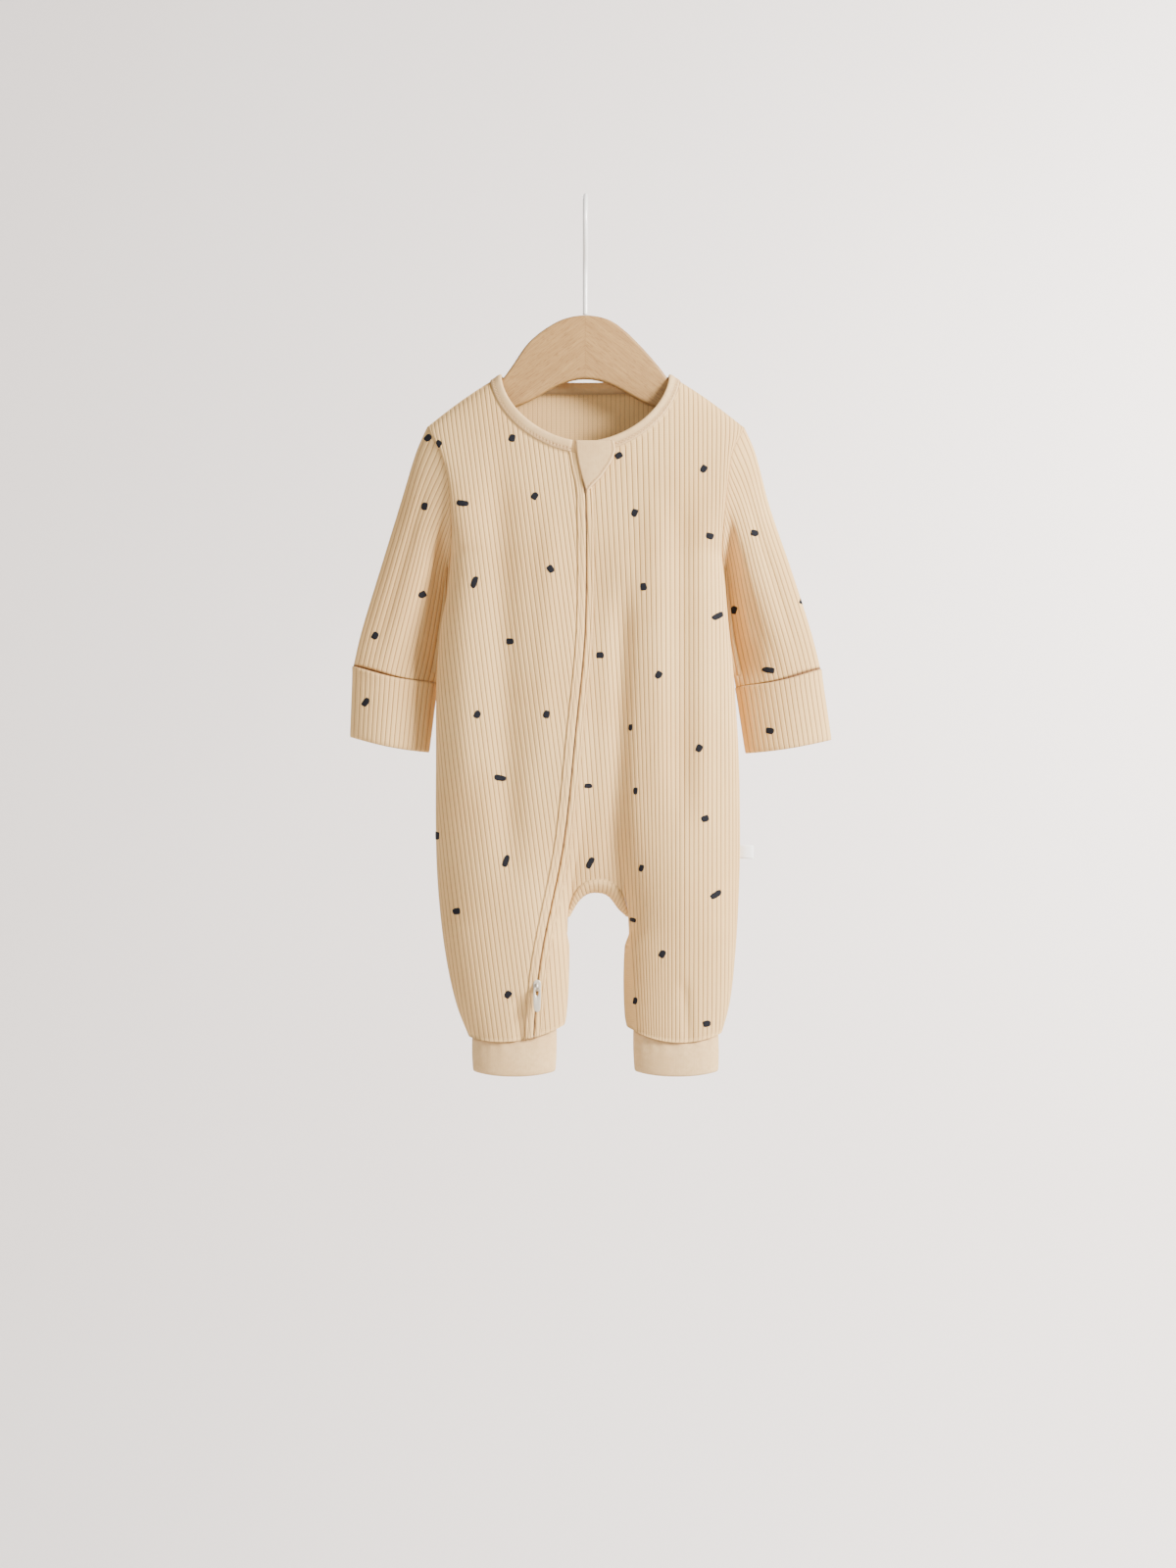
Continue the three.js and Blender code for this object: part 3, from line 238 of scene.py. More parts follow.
def fold_height(folds, x, z):
    total = 0
    for x0, z0, x1, z1, half_width, height in folds:
        along = (z - z0) / (z1 - z0)
        across = (x - mix(x0, x1, along)) / half_width
        ends = smooth((along + 0.15) / 0.3) * smooth((1.15 - along) / 0.3)
        total = total + height * ends * np.exp(-across * across)
    return total


def depth_at(side, x, z):
    """How far the front or the back stands from the middle plane."""
    sign, column, power, folds = SIDES[side]
    left, right = left_edge(z), right_edge(z)
    across = np.clip((2 * x - left - right) / (right - left), -1, 1)
    full = read(BODY_DEPTH, z, column)
    edge = read(ARMHOLE, z, 1)
    torso = edge + (full - edge) * bow(across, power)
    drop = np.clip((shoulder_height(x) - z) / SHOULDER_ROUND, 0, 1)
    ridge = np.sqrt(1 - (1 - drop) ** 2)
    legs = np.clip((LEG_START - z) / (LEG_START - CROTCH_Z), 0, 1) ** 2
    inner = np.where(x < CROTCH_X, inseam(z, "right"), inseam(z, "left"))
    outer = np.where(x < CROTCH_X, left, right)
    wide = bow(np.clip((2 * x - inner - outer) / (outer - inner), -1, 1), 2.3)
    leg = full * wide ** mix(3, 1, legs)
    body = mix(torso, leg, legs)
    soften = bow(across, 2) * mix(1, leg / full, legs)
    return (body + fold_height(folds, x, z) * soften) * ridge


def cloth(side, x, z, lift=0.0):
    """Point on the outside of the front or back, moved out along the cloth's normal."""
    sign = SIDES[side][0]
    h = NORMAL_STEP
    depth = depth_at(side, x, z)
    slope_x = (depth_at(side, x + h, z) - depth_at(side, x - h, z)) / (2 * h)
    slope_z = (depth_at(side, x, z + h) - depth_at(side, x, z - h)) / (2 * h)
    normal = unit(point(-slope_x, sign, -slope_z))
    made = point(x, sign * (depth + HALF_GAP), z) + normal * np.asarray(lift)[..., None]
    made[..., 1] = sign * np.maximum(sign * made[..., 1], HALF_GAP)
    return made


def neckline_height(side, x, outset):
    reach = NECK_HALF_WIDTH + outset
    drop = NECK_DROP[side] + outset
    return NECK_Z - drop * bow(np.clip(x / reach, -1, 1), NECK_POWER[side])


def panel_top(side, x):
    return np.minimum(shoulder_height(x), neckline_height(side, x, BINDING_WIDTH - SEAM_TUCK))


def crotch_height(x):
    return CROTCH_Z + CROTCH_RISE * bow((x - CROTCH_X) / CROTCH_HALF, CROTCH_POWER)


def hem_height(x):
    middle, low, curve = (np.where(x < CROTCH_X, a, b) for a, b in zip(HEMS["right"], HEMS["left"]))
    return low + curve * (x - middle) ** 2


def row_height(row, x, split, top, foot):
    """Height of a row: from the top edge down to the crotch's arch, and on to the hem."""
    arch = (crotch_height(x) - CROTCH_Z) * row**4 if split else 0
    body = mix(top, CROTCH_Z, row) + arch
    return np.where(row > 1, mix(CROTCH_Z, foot, row - 1), body)


def rib(place):
    """Share of a rib's height at a place across the cloth, in millimetres."""
    return np.interp((place / PITCH) % 1, RIB_STEPS, RIB_SHARES)


def rib_places(low, high):
    """Where the columns of a ribbed mesh lie: a few across every rib, close by its grooves."""
    ribs = np.arange(math.floor(low / PITCH), math.ceil(high / PITCH) + 1)
    return (ribs[:, None] + np.array(RIB_STEPS[:-1])).ravel() * PITCH


class Measure:
    """Measures the cloth across the body at every height, so that the ribs keep their width."""

    HEIGHTS = np.arange(-640.0, -118.0, 2.0)
    PLACES = np.arange(-190.0, 191.0, 1.0)
    STEPS = 72

    def __init__(self, side, origin):
        column, power = SIDES[side][1:3]
        across = -np.cos(np.pi * np.arange(self.STEPS + 1) / self.STEPS)
        self.x_of_place = []
        self.place_of_x = []
        for z in self.HEIGHTS:
            x = mix(left_edge(z), right_edge(z), (across + 1) / 2)
            depth = read(BODY_DEPTH, z, column) * bow(across, power)
            length = np.concatenate([[0], np.cumsum(np.hypot(np.diff(x), np.diff(depth)))])
            length -= np.interp(origin, x, length)
            self.x_of_place.append(np.interp(self.PLACES, length, x))
            self.place_of_x.append(np.interp(self.PLACES, x, length))
        self.x_of_place = np.array(self.x_of_place)
        self.place_of_x = np.array(self.place_of_x)

    def look_up(self, table, at, z):
        row = np.clip((z - self.HEIGHTS[0]) / 2, 0, len(self.HEIGHTS) - 1.001)
        column = np.clip(at - self.PLACES[0], 0, len(self.PLACES) - 1.001)
        r, c = row.astype(int), column.astype(int)
        u, v = row - r, column - c
        low = mix(table[r, c], table[r, c + 1], v)
        high = mix(table[r + 1, c], table[r + 1, c + 1], v)
        return mix(low, high, u)

    def x(self, place, z):
        return self.look_up(self.x_of_place, place, z)

    def place(self, x, z):
        return self.look_up(self.place_of_x, x, z)


class Panel:
    """A panel of the body as a set of rib lines, cut off at its left and right edge."""

    LEAN_MIDDLE = -306

    def __init__(self, side, left, right, origin, lean, split):
        self.side, self.left, self.right = side, left, right
        self.lean, self.split = lean, split
        self.measure = Measure(side, origin)

    def place_at(self, x, z):
        """Place across the ribs of the point at x, z."""
        wanted = self.measure.place(x, z)
        place = np.zeros_like(wanted)
        for _ in range(16):
            place = wanted - self.lean(place) * (self.LEAN_MIDDLE - z)
        return place

    def solve(self, places, rows, leg):
        """x and z where every rib line crosses every row. leg says whose inseam holds the lines."""
        place, row = places[:, None], rows[None, :]
        z = np.full((len(places), len(rows)), -300.0)
        x = np.zeros_like(z)
        for turn in range(26):
            low, high = self.left(z), self.right(z)
            if leg == "right":
                high = np.where(row > 1, inseam(z, "right"), high)
            elif leg == "left":
                low = np.where(row > 1, inseam(z, "left"), low)
            wanted = place + self.lean(place) * (self.LEAN_MIDDLE - z)
            x = np.clip(self.measure.x(wanted, z), low, high)
            goal = row_height(row, x, self.split, panel_top(self.side, x), hem_height(x))
            z = mix(z, goal, 0.8 if turn < 12 else 0.5)
        return x, z, low, high


class Solid:
    """Collects points and triangles, and makes one closed mesh of them."""

    def __init__(self):
        self.points, self.faces = [], []
        # Besides place, run and ink, each point holds an amount of painted shade: 0 to 1 blends toward the groove shade
        # colour, 1 to 2 on toward the deep shade colour
        self.values = {"place": [], "run": [], "groove": [], "ink": []}
        self.count = 0

    def add(self, points, **values):
        shape = points.shape[:-1]
        self.points.append(points.reshape(-1, 3))
        size = len(self.points[-1])
        for name, stored in self.values.items():
            stored.append(np.broadcast_to(values.get(name, 0.0), shape).ravel())
        ids = np.arange(self.count, self.count + size).reshape(shape)
        self.count += size
        return ids

    def quads(self, grid):
        a, b, c, d = grid[:-1, :-1], grid[:-1, 1:], grid[1:, 1:], grid[1:, :-1]
        self.faces.append(np.stack([a, b, c], -1).reshape(-1, 3))
        self.faces.append(np.stack([a, c, d], -1).reshape(-1, 3))

    def stitch(self, fine, coarse, places):
        """Joins two lines of points, the second with fewer points, each at a place of the first."""
        made = []
        for k in range(len(coarse) - 1):
            middle = (places[k] + places[k + 1]) // 2
            for i in range(places[k], places[k + 1]):
                made.append([fine[i], fine[i + 1], coarse[k if i < middle else k + 1]])
                if i == middle:
                    made.append([fine[i], coarse[k + 1], coarse[k]])
        self.faces.append(np.array(made))

    def fan(self, ring, turned=False):
        """Closes a ring of points with triangles from its first point."""
        made = [[ring[0], ring[k], ring[k + 1]] for k in range(1, len(ring) - 1)]
        if turned:
            made = [face[::-1] for face in made]
        self.faces.append(np.array(made))

    def make(self, name, material, body="garment", angle=None):
        points = np.concatenate(self.points)
        faces = np.concatenate(self.faces)
        keys = np.round(points * 500).astype(np.int64)
        first, back = np.unique(keys, axis=0, return_index=True, return_inverse=True)[1:]
        back = back.ravel()
        faces = back[faces]
        a, b, c = faces.T
        faces = faces[(a != b) & (b != c) & (c != a)]
        points = points[first]
        p, q, r = (points[faces[:, k]] for k in range(3))
        if np.einsum("ij,ij->", p, np.cross(q, r)) < 0:
            faces = faces[:, ::-1]
        mesh = bpy.data.meshes.new(name)
        mesh.from_pydata((points * MM).tolist(), [], faces.tolist())
        for value, stored in self.values.items():
            layer = mesh.attributes.new(value, "FLOAT", "POINT")
            layer.data.foreach_set("value", np.concatenate(stored)[first].astype(np.float32))
        mesh.validate()
        mesh.shade_smooth()
        made = bpy.data.objects.new(name, mesh)
        bpy.context.scene.collection.objects.link(made)
        made.data.materials.append(material)
        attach(made, body)
        return made


# Materials


class Nodes:
    """Builds one procedural material."""

    def __init__(self, name):
        self.material = bpy.data.materials.new(name)
        self.material.use_nodes = True
        self.tree = self.material.node_tree
        self.shader = self.tree.nodes["Principled BSDF"]

    def node(self, kind, **settings):
        made = self.tree.nodes.new(kind)
        for name, value in settings.items():
            setattr(made, name, value)
        return made

    def link(self, output, target):
        self.tree.links.new(output, target)

    def set(self, target, value):
        if isinstance(value, bpy.types.NodeSocket):
            self.link(value, target)
        else:
            target.default_value = value

    def math(self, operation, a, b=0.0, c=0.0):
        made = self.node("ShaderNodeMath", operation=operation)
        for k, value in enumerate((a, b, c)):
            self.set(made.inputs[k], value)
        return made.outputs[0]

    def attribute(self, name):
        return self.node("ShaderNodeAttribute", attribute_name=name).outputs["Fac"]

    def place(self, stretch=(1, 1, 1), turn=(0, 0, 0)):
        """Object coordinates in millimetres, stretched and turned."""
        coordinates = self.node("ShaderNodeTexCoord")
        mapping = self.node("ShaderNodeMapping")
        mapping.inputs["Scale"].default_value = [1000 * s for s in stretch]
        mapping.inputs["Rotation"].default_value = turn
        self.link(coordinates.outputs["Object"], mapping.inputs["Vector"])
        return mapping.outputs["Vector"]

    def join(self, x, y, z=0.0):
        made = self.node("ShaderNodeCombineXYZ")
        for k, value in enumerate((x, y, z)):
            self.set(made.inputs[k], value)
        return made.outputs[0]

    def noise(self, scale, detail=2.0, at=None, roughness=0.5):
        made = self.node("ShaderNodeTexNoise")
        made.inputs["Scale"].default_value = scale
        made.inputs["Detail"].default_value = detail
        made.inputs["Roughness"].default_value = roughness
        self.link(at if at is not None else self.place(), made.inputs["Vector"])
        return made.outputs["Fac"]

    def blend(self, share, a, b, kind="MIX"):
        made = self.node("ShaderNodeMix", data_type="RGBA", blend_type=kind)
        self.set(made.inputs["Factor"], share)
        for k, value in ((6, a), (7, b)):
            self.set(made.inputs[k], value)
        return made.outputs[2]

    def range(self, value, low, high, to_low, to_high):
        made = self.node("ShaderNodeMapRange")
        for k, number in enumerate((value, low, high, to_low, to_high)):
            self.set(made.inputs[k], number)
        return made.outputs[0]

    def bump(self, height, strength, distance):
        made = self.node("ShaderNodeBump")
        made.inputs["Strength"].default_value = strength
        made.inputs["Distance"].default_value = distance
        self.link(height, made.inputs["Height"])
        self.link(made.outputs[0], self.shader.inputs["Normal"])

    def finish(self, colour, roughness, **sockets):
        self.set(self.shader.inputs["Base Color"], colour)
        self.set(self.shader.inputs["Roughness"], roughness)
        for name, value in sockets.items():
            self.shader.inputs[name.replace("_", " ")].default_value = value
        return self.material


CREAM = (0.74, 0.48, 0.2, 1)
CREAM_WARM = (0.68, 0.42, 0.165, 1)
# The next two colours are painted shade: the first for rib grooves, seams, stitch ditches and insides, the second
# deeper, for gaps and under edges
GROOVE_SHADE = (0.36, 0.21, 0.09, 1)
SHADE = (0.13, 0.06, 0.025, 1)
INK = (0.005, 0.0055, 0.009, 1)
JERSEY = (0.7, 0.475, 0.23, 1)
JERSEY_DARK = (0.6, 0.38, 0.17, 1)


def rib_material():
    nodes = Nodes("rib_knit")
    place, run = nodes.attribute("place"), nodes.attribute("run")
    groove, ink = nodes.attribute("groove"), nodes.attribute("ink")
    cloud = nodes.noise(0.012, 3)
    cream = nodes.blend(nodes.range(cloud, 0.35, 0.65, 0, 1), CREAM, CREAM_WARM)
    fleck = nodes.noise(0.9, 3, roughness=0.7)
    cream = nodes.blend(nodes.range(fleck, 0.3, 0.75, 0.0, 0.22), cream, CREAM_WARM)
    # Painted shade in the grooves between the ribs, also where the cloth is seen from inside; the same groove line also
    # dents the bump
    across = nodes.math("FRACT", nodes.math("MULTIPLY", place, 1 / PITCH))
    across = nodes.math("MULTIPLY", nodes.math("ABSOLUTE", nodes.math("SUBTRACT", across, 0.5)), 2.0)
    line = nodes.range(across, 0.7, 0.96, 0, 1)
    shade = nodes.math("MAXIMUM", line, nodes.math("POWER", groove, 1.3))
    colour = nodes.blend(nodes.math("MULTIPLY", shade, 0.8), cream, GROOVE_SHADE)
    # Deeper painted shade in gaps and under edges, where the shade amount goes past 1
    colour = nodes.blend(nodes.range(groove, 1.0, 2.0, 0, 1), colour, SHADE)
    colour = nodes.blend(nodes.range(ink, 0.35, 0.65, 0, 1), colour, INK)
    # Knit loops: two slanted legs a column, two columns a rib
    column = nodes.math("MULTIPLY", place, 2 / PITCH)
    within = nodes.math("FRACT", column)
    lean = nodes.math("ABSOLUTE", nodes.math("SUBTRACT", within, 0.5))
    loops = nodes.math("ADD", nodes.math("MULTIPLY", run, 1 / 1.25), nodes.math("MULTIPLY", lean, 1.1))
    wave = nodes.math("SINE", nodes.math("MULTIPLY", loops, 2 * math.pi))
    fuzz = nodes.noise(2.4, 3, roughness=0.65)
    height = nodes.math("ADD", nodes.math("MULTIPLY", wave, 0.35), fuzz)
    height = nodes.math("SUBTRACT", height, nodes.math("MULTIPLY", line, nodes.math("SUBTRACT", 1.0, ink)))
    nodes.bump(height, 0.4, 0.0003)
    roughness = nodes.range(fuzz, 0.3, 0.7, 0.86, 0.98)
    return nodes.finish(colour, roughness, Sheen_Weight=0.05, Sheen_Roughness=0.6, Specular_IOR_Level=0.2)


def jersey_material():
    nodes = Nodes("jersey")
    cloud = nodes.noise(0.05, 3)
    mottle = nodes.noise(0.35, 3, roughness=0.6)
    colour = nodes.blend(nodes.range(cloud, 0.35, 0.65, 0, 0.6), JERSEY, JERSEY_DARK)
    colour = nodes.blend(nodes.range(mottle, 0.4, 0.65, 0, 0.6), colour, JERSEY_DARK)
    # Painted shade in ditches, along seams and edges, and on the inside
    groove = nodes.attribute("groove")
    colour = nodes.blend(nodes.math("MULTIPLY", groove, 0.7), colour, GROOVE_SHADE)
    wale = nodes.node("ShaderNodeTexWave", wave_type="BANDS", bands_direction="X")
    wale.inputs["Scale"].default_value = 0.28
    wale.inputs["Distortion"].default_value = 1.0
    nodes.link(nodes.place(), wale.inputs["Vector"])
    fuzz = nodes.noise(1.8, 3, roughness=0.6)
    nodes.bump(nodes.math("ADD", nodes.math("MULTIPLY", wale.outputs["Fac"], 0.4), fuzz), 0.3, 0.0003)
    roughness = nodes.range(fuzz, 0.3, 0.7, 0.84, 0.97)
    return nodes.finish(colour, roughness, Sheen_Weight=0.05, Sheen_Roughness=0.6, Specular_IOR_Level=0.2)


RIB = rib_material()
JERSEY_CLOTH = jersey_material()

def wear(made, node, slot, size=None, area=None, held="hung", rests_on=(), with_pieces=()):
    """Hides the part in model.glb that a cloth piece stands for. The size it was cut to is not used."""
    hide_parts(node)
    return made


# Body panels

# Width and length of the cloth each panel was cut from, and the area of the cut
PANEL_CUTS = {
    "front_right_panel": ((0.13, 0.49), 0.045),
    "front_left_panel": ((0.13, 0.49), 0.055),
    "back_panel": ((0.26, 0.49), 0.105),
}

PANELS = {
    "front_right_panel": Panel(
        "front",
        left_edge,
        lambda z: zip_line(z) - SLIT - FACING_RIGHT,
        -50,
        lambda place: 0.13 + 0 * place,
        False,
    ),
    "front_left_panel": Panel(
        "front",
        lambda z: zip_line(z) + SLIT + FACING_LEFT,
        right_edge,
        60,
        lambda place: 0.075 * smooth((10 - place) / 70),
        True,
    ),
    "back_panel": Panel("back", left_edge, right_edge, 2, lambda place: 0 * place, True),
}
TORSO_ROWS = 118
LEG_ROWS = 24
SEAM_REACH = 1.6


# Printed dashes. Each is x and z of its middle, its length, its width and its turn in degrees.
SHORT, LONG = (5.5, 4.5), (8.6, 4.1)
FRONT_DASHES = [
    [-104.3, -176.4, *SHORT, 60],
    [-51.8, -172.9, *SHORT, 70],
    [23.8, -185.5, *SHORT, 30],
    [84, -194.6, *SHORT, 60],
    [-86.8, -219.1, *LONG, -8],
    [-35.7, -214.2, *SHORT, 55],
    [35, -226.1, *SHORT, 70],
    [88.2, -242.2, *SHORT, -15],
    [-24.5, -266, *SHORT, -60],
    [-78.4, -275.1, *LONG, 70],
    [41.3, -278.6, *SHORT, -80],
    [93.8, -298.9, *LONG, 28],
    [-53.2, -317.1, *SHORT, 0],
    [10.5, -326.9, *SHORT, 0],
    [51.8, -340.9, *SHORT, 55],
    [-76.3, -368.9, *SHORT, 60],
    [-27.3, -368.9, *SHORT, 75],
    [32.2, -378, 4.6, 2.6, 85],
    [80.5, -392.7, *SHORT, 65],
    [-60.2, -413.7, *LONG, -10],
    [2.1, -419.3, 5.6, 3.4, 0],
    [35.7, -422.8, 4.9, 3, 85],
    [84.7, -442.4, *SHORT, 20],
    [-56, -472.5, *LONG, 70],
    [3.5, -473.9, *LONG, 62],
    [39.9, -477.4, 4.9, 3.4, 75],
    [92.4, -496.3, *LONG, 32],
    [-105.6, -454.8, *SHORT, 80],
    [34.2, -514.6, 4.6, 3, -15],
    [-91, -508.2, *SHORT, 10],
    [-32.2, -513.1, *SHORT, 45],
    [54.6, -538.3, *SHORT, 60],
    [-54.6, -567, *SHORT, 55],
    [35.7, -571.9, 4.9, 3, 80],
    [86.1, -588, *SHORT, 10],
]
BACK_DASHES = [
    [-70, -165, *SHORT, 40],
    [-22, -158, *LONG, 12],
    [38, -171, *SHORT, 70],
    [86, -180, *SHORT, -30],
    [-84, -214, *LONG, 64],
    [-40, -222, *SHORT, 15],
    [12, -209, *SHORT, 80],
    [61, -231, *LONG, -14],
    [-70, -271, *SHORT, 55],
    [-12, -264, *SHORT, -20],
    [34, -288, *SHORT, 65],
    [88, -276, *SHORT, 5],
    [-90, -329, *LONG, 22],
    [-44, -318, *SHORT, 80],
    [6, -336, *LONG, 70],
    [60, -341, *SHORT, 35],
    [-78, -384, *SHORT, -10],
    [-30, -377, *SHORT, 60],
    [28, -396, *SHORT, 20],
    [86, -388, *LONG, -62],
    [-58, -437, *SHORT, 75],
    [-6, -431, *SHORT, 10],
    [50, -449, *LONG, 18],
    [94, -451, *SHORT, 60],
    [-86, -486, *SHORT, 30],
    [-34, -491, *LONG, 75],
    [44, -506, *SHORT, -25],
    [84, -522, *SHORT, 50],
    [-62, -541, *SHORT, 10],
    [62, -569, *LONG, 40],
    [-40, -583, *SHORT, 65],
]
# On sleeves and cuffs: share down, place round from 0 at the outer fold, length, width, turn
SLEEVE_DASHES = {
    "right": [[-112, -171.5, *SHORT, 40], [-114.1, -220.5, *SHORT, 80], [-116.2, -282.8, *SHORT, 30], [-149.8, -312.2, *SHORT, 60]],
    "left": [
        [120.4, -239.4, *SHORT, -10],
        [106.6, -293.3, *SHORT, 70],
        [130.9, -336.7, *LONG, -8],
        [154.8, -287, 5.2, 3.6, 70],
    ],
}
CUFF_DASHES = {"right": [[-156.1, -359.8, 6.6, 4.2, 55]], "left": [[132.3, -380.1, *SHORT, -10]]}
DASH_RINGS = [0.0, 0.4, 0.75, 1.0, 1.04, 0.0]
DASH_SIDES = 26
# How far the ink fills the grooves
INK_BRIDGE = 0.95


def dash_points(x, z, length, width, turn, seed):
    """Points of one dash in rings from its middle: a worn, rounded block."""
    around = np.arange(DASH_SIDES + 1) / DASH_SIDES * 2 * np.pi
    cos, sin = np.cos(around), np.sin(around)
    power = 2 / 3.2
    wobble = 1 + 0.04 * np.sin(3 * around + seed) + 0.02 * np.sin(5 * around + 2.3 * seed)
    a = length / 2 * np.sign(cos) * np.abs(cos) ** power * wobble
    b = width / 2 * np.sign(sin) * np.abs(sin) ** power * wobble
    rings = np.array(DASH_RINGS)[:, None]
    tilt = math.radians(turn)
    across = x + rings * (a * math.cos(tilt) - b * math.sin(tilt))
    up = z + rings * (a * math.sin(tilt) + b * math.cos(tilt))
    return across, up


INK_LIFT = np.array([0.2, 0.19, 0.17, 0.12, -0.5, -0.7])[:, None]
INK_SHARE = np.array([1, 1, 1, 1, 0.0, 0.0])[:, None]


def print_dash(solid, surface, dash, seed):
    """Lays one dash on a surface, which gives a point and the place on the ribs for x, z and a lift."""
    x, z = dash_points(*dash, seed)
    points, place = surface(x, z, INK_LIFT + 0 * x)
    grid = solid.add(points, place=place, run=-z, ink=INK_SHARE + 0 * x, groove=0.3)
    solid.quads(grid)


def print_panel(solid, name, panel):
    dashes = BACK_DASHES if panel.side == "back" else FRONT_DASHES

    def surface(x, z, lift):
        x = np.clip(x, panel.left(z) + 0.3, panel.right(z) - 0.3)
        place = panel.place_at(x, z)
        flat = smooth((panel_top(panel.side, x) - z) / SEAM_REACH)
        return cloth(panel.side, x, z, RIB_HEIGHT * np.maximum(rib(place), INK_BRIDGE) * flat + lift), place

    for seed, dash in enumerate(dashes):
        x, z = np.array(dash[0]), np.array(dash[1])
        if panel.left(z) < x < panel.right(z):
            print_dash(solid, surface, dash, seed * 1.7)


def print_sleeve(solid, dashes, face, guess):
    """Lays dashes on a tube. face gives points for t and turn, and is searched for x and z."""
    t = np.linspace(0.02, 0.98, 60)[:, None]
    turn = np.linspace(0.01, 0.49, 80)[None, :]
    seen = face(t + 0 * turn, turn + 0 * t, 0 * t * turn)
    for seed, dash in enumerate(dashes):
        away = np.hypot(seen[..., 0] - dash[0], seen[..., 2] - dash[1])
        i, j = np.unravel_index(np.argmin(away), away.shape)
        i, j = min(max(i, 1), 58), min(max(j, 1), 78)
        by_t = (seen[i + 1, j] - seen[i - 1, j]) / (t[i + 1, 0] - t[i - 1, 0])
        by_turn = (seen[i, j + 1] - seen[i, j - 1]) / (turn[0, j + 1] - turn[0, j - 1])
        slopes = np.linalg.inv(np.array([[by_t[0], by_turn[0]], [by_t[2], by_turn[2]]]))

        def surface(x, z, lift):
            dx, dz = x - seen[i, j, 0], z - seen[i, j, 2]
            at = t[i, 0] + slopes[0, 0] * dx + slopes[0, 1] * dz
            around = np.clip(turn[0, j] + slopes[1, 0] * dx + slopes[1, 1] * dz, 0.004, 0.496)
            place = around * SLEEVE_RIBS * PITCH
            return face(at, around, RIB_HEIGHT * np.maximum(rib(place), INK_BRIDGE) + lift + guess), place

        print_dash(solid, surface, dash, seed * 2.1 + 0.6)


def panel_mesh(name, panel, torso_rows, leg_rows):
    rows = np.concatenate([np.linspace(0, 1, torso_rows + 1), np.linspace(1, 2, leg_rows + 1)[1:]])
    foot = torso_rows + 1
    far = 400.0
    lines = rib_places(-190, 190)
    if panel.split:
        start, end = (float(panel.place_at(np.array([x]), np.array([CROTCH_Z]))[0]) for x in CROTCH_ENDS)
        blocks = [
            ("right", np.concatenate([[-far], lines[lines < start - 0.2], [start]])),
            ("gap", np.concatenate([[start], lines[(lines > start + 0.2) & (lines < end - 0.2)], [end]])),
            ("left", np.concatenate([[end], lines[lines > end + 0.2], [far]])),
        ]
    else:
        blocks = [("whole", np.concatenate([[-far], lines, [far]]))]
    solid = Solid()
    grids = []
    for leg, places in blocks:
        kept_rows = rows[:foot] if leg == "gap" else rows
        x, z, low, high = panel.solve(places, kept_rows, leg)
        row = kept_rows[None, :]
        if panel.split and leg != "right":
            x[0] = np.where(row[0] > 1, low[0], x[0])
            x[0, foot - 1] = CROTCH_ENDS[1] if leg == "left" else CROTCH_ENDS[0]
        if panel.split and leg != "left":
            x[-1] = np.where(row[0] > 1, high[-1], x[-1])
            x[-1, foot - 1] = CROTCH_ENDS[0] if leg == "right" else CROTCH_ENDS[1]
        if panel.split:
            goal = row_height(row, x, True, panel_top(panel.side, x), hem_height(x))
            ends = [k for k in (0, -1) if abs(places[k]) < far]
            z[ends] = goal[ends]
        # Columns that lie on the panel's edge all the way add nothing
        free = (x > low + 0.02) & (x < high - 0.02)
        use = free.any(1)
        use[0] = use[-1] = True
        places, x, z, low, high = places[use], x[use], z[use], low[use], high[use]
        edge = np.minimum(x - low, high - x)
        top = (panel_top(panel.side, x) - z) if leg != "none" else 0
        hem = z - hem_height(x)
        near = np.minimum(edge, np.minimum(top, hem))
        if panel.split and leg == "gap":
            near = np.minimum(near, z - crotch_height(x))
        flat = smooth(near / SEAM_REACH)
        place = np.broadcast_to(places[:, None], x.shape)
        held = np.clip(place, -190, 190)
        share = rib(held) * flat
        # The rib grooves get painted shade, a little less near the edges
        outer = solid.add(
            cloth(panel.side, x, z, RIB_HEIGHT * share),
            place=held,
            run=-z,
            groove=(1 - rib(held)) * mix(0.6, 1, flat),
        )
        step = np.arange(len(places))
        on_rib = np.isclose((places / PITCH + 0.5) % 1, 0.5, atol=0.001)
        special = (step == 0) | (step == len(places) - 1)
        if leg == "gap":
            special |= np.minimum(places - start, end - places) < 4
        kept = np.flatnonzero(on_rib | special)
        # The inside gets a flat share of painted shade
        inner = solid.add(cloth(panel.side, x[kept], z[kept], -WALL), groove=0.3, place=held[kept], run=-z[kept])
        solid.quads(outer)
        solid.quads(inner[:, ::-1])
        grids.append((outer, inner, kept))
    # Round the edge: down the left side, along the foot, up the right side and back along the top
    path, inner_path, at = [], [], []

    def walk(block, column, row):
        outer, inner, kept = grids[block]
        column = column % len(outer)
        where = np.flatnonzero(kept == column)
        if len(where):
            inner_path.append(inner[where[0], row])
            at.append(len(path))
        path.append(outer[column, row])

    last_row = len(rows) - 1
    for row in range(last_row + 1):
        walk(0, 0, row)
    for column in range(1, len(grids[0][0])):
        walk(0, column, last_row)
    if panel.split:
        for row in range(last_row - 1, foot - 2, -1):
            walk(0, -1, row)
        for column in range(1, len(grids[1][0])):
            walk(1, column, foot - 1)
        for row in range(foot, last_row + 1):
            walk(2, 0, row)
        for column in range(1, len(grids[2][0])):
            walk(2, column, last_row)
    final = len(grids) - 1
    for row in range(last_row - 1, -1, -1):
        walk(final, -1, row)
    for block in range(final, -1, -1):
        for column in range(len(grids[block][0]) - 2, -1, -1):
            walk(block, column, 0)
    solid.stitch(path, inner_path, at)
    print_panel(solid, name, panel)
    return wear(solid.make(f"{name}_cloth", RIB), name, "rib", *PANEL_CUTS[name])


for panel_name, panel in PANELS.items():
    panel_mesh(panel_name, panel, TORSO_ROWS, LEG_ROWS)

# Sleeves and cuffs

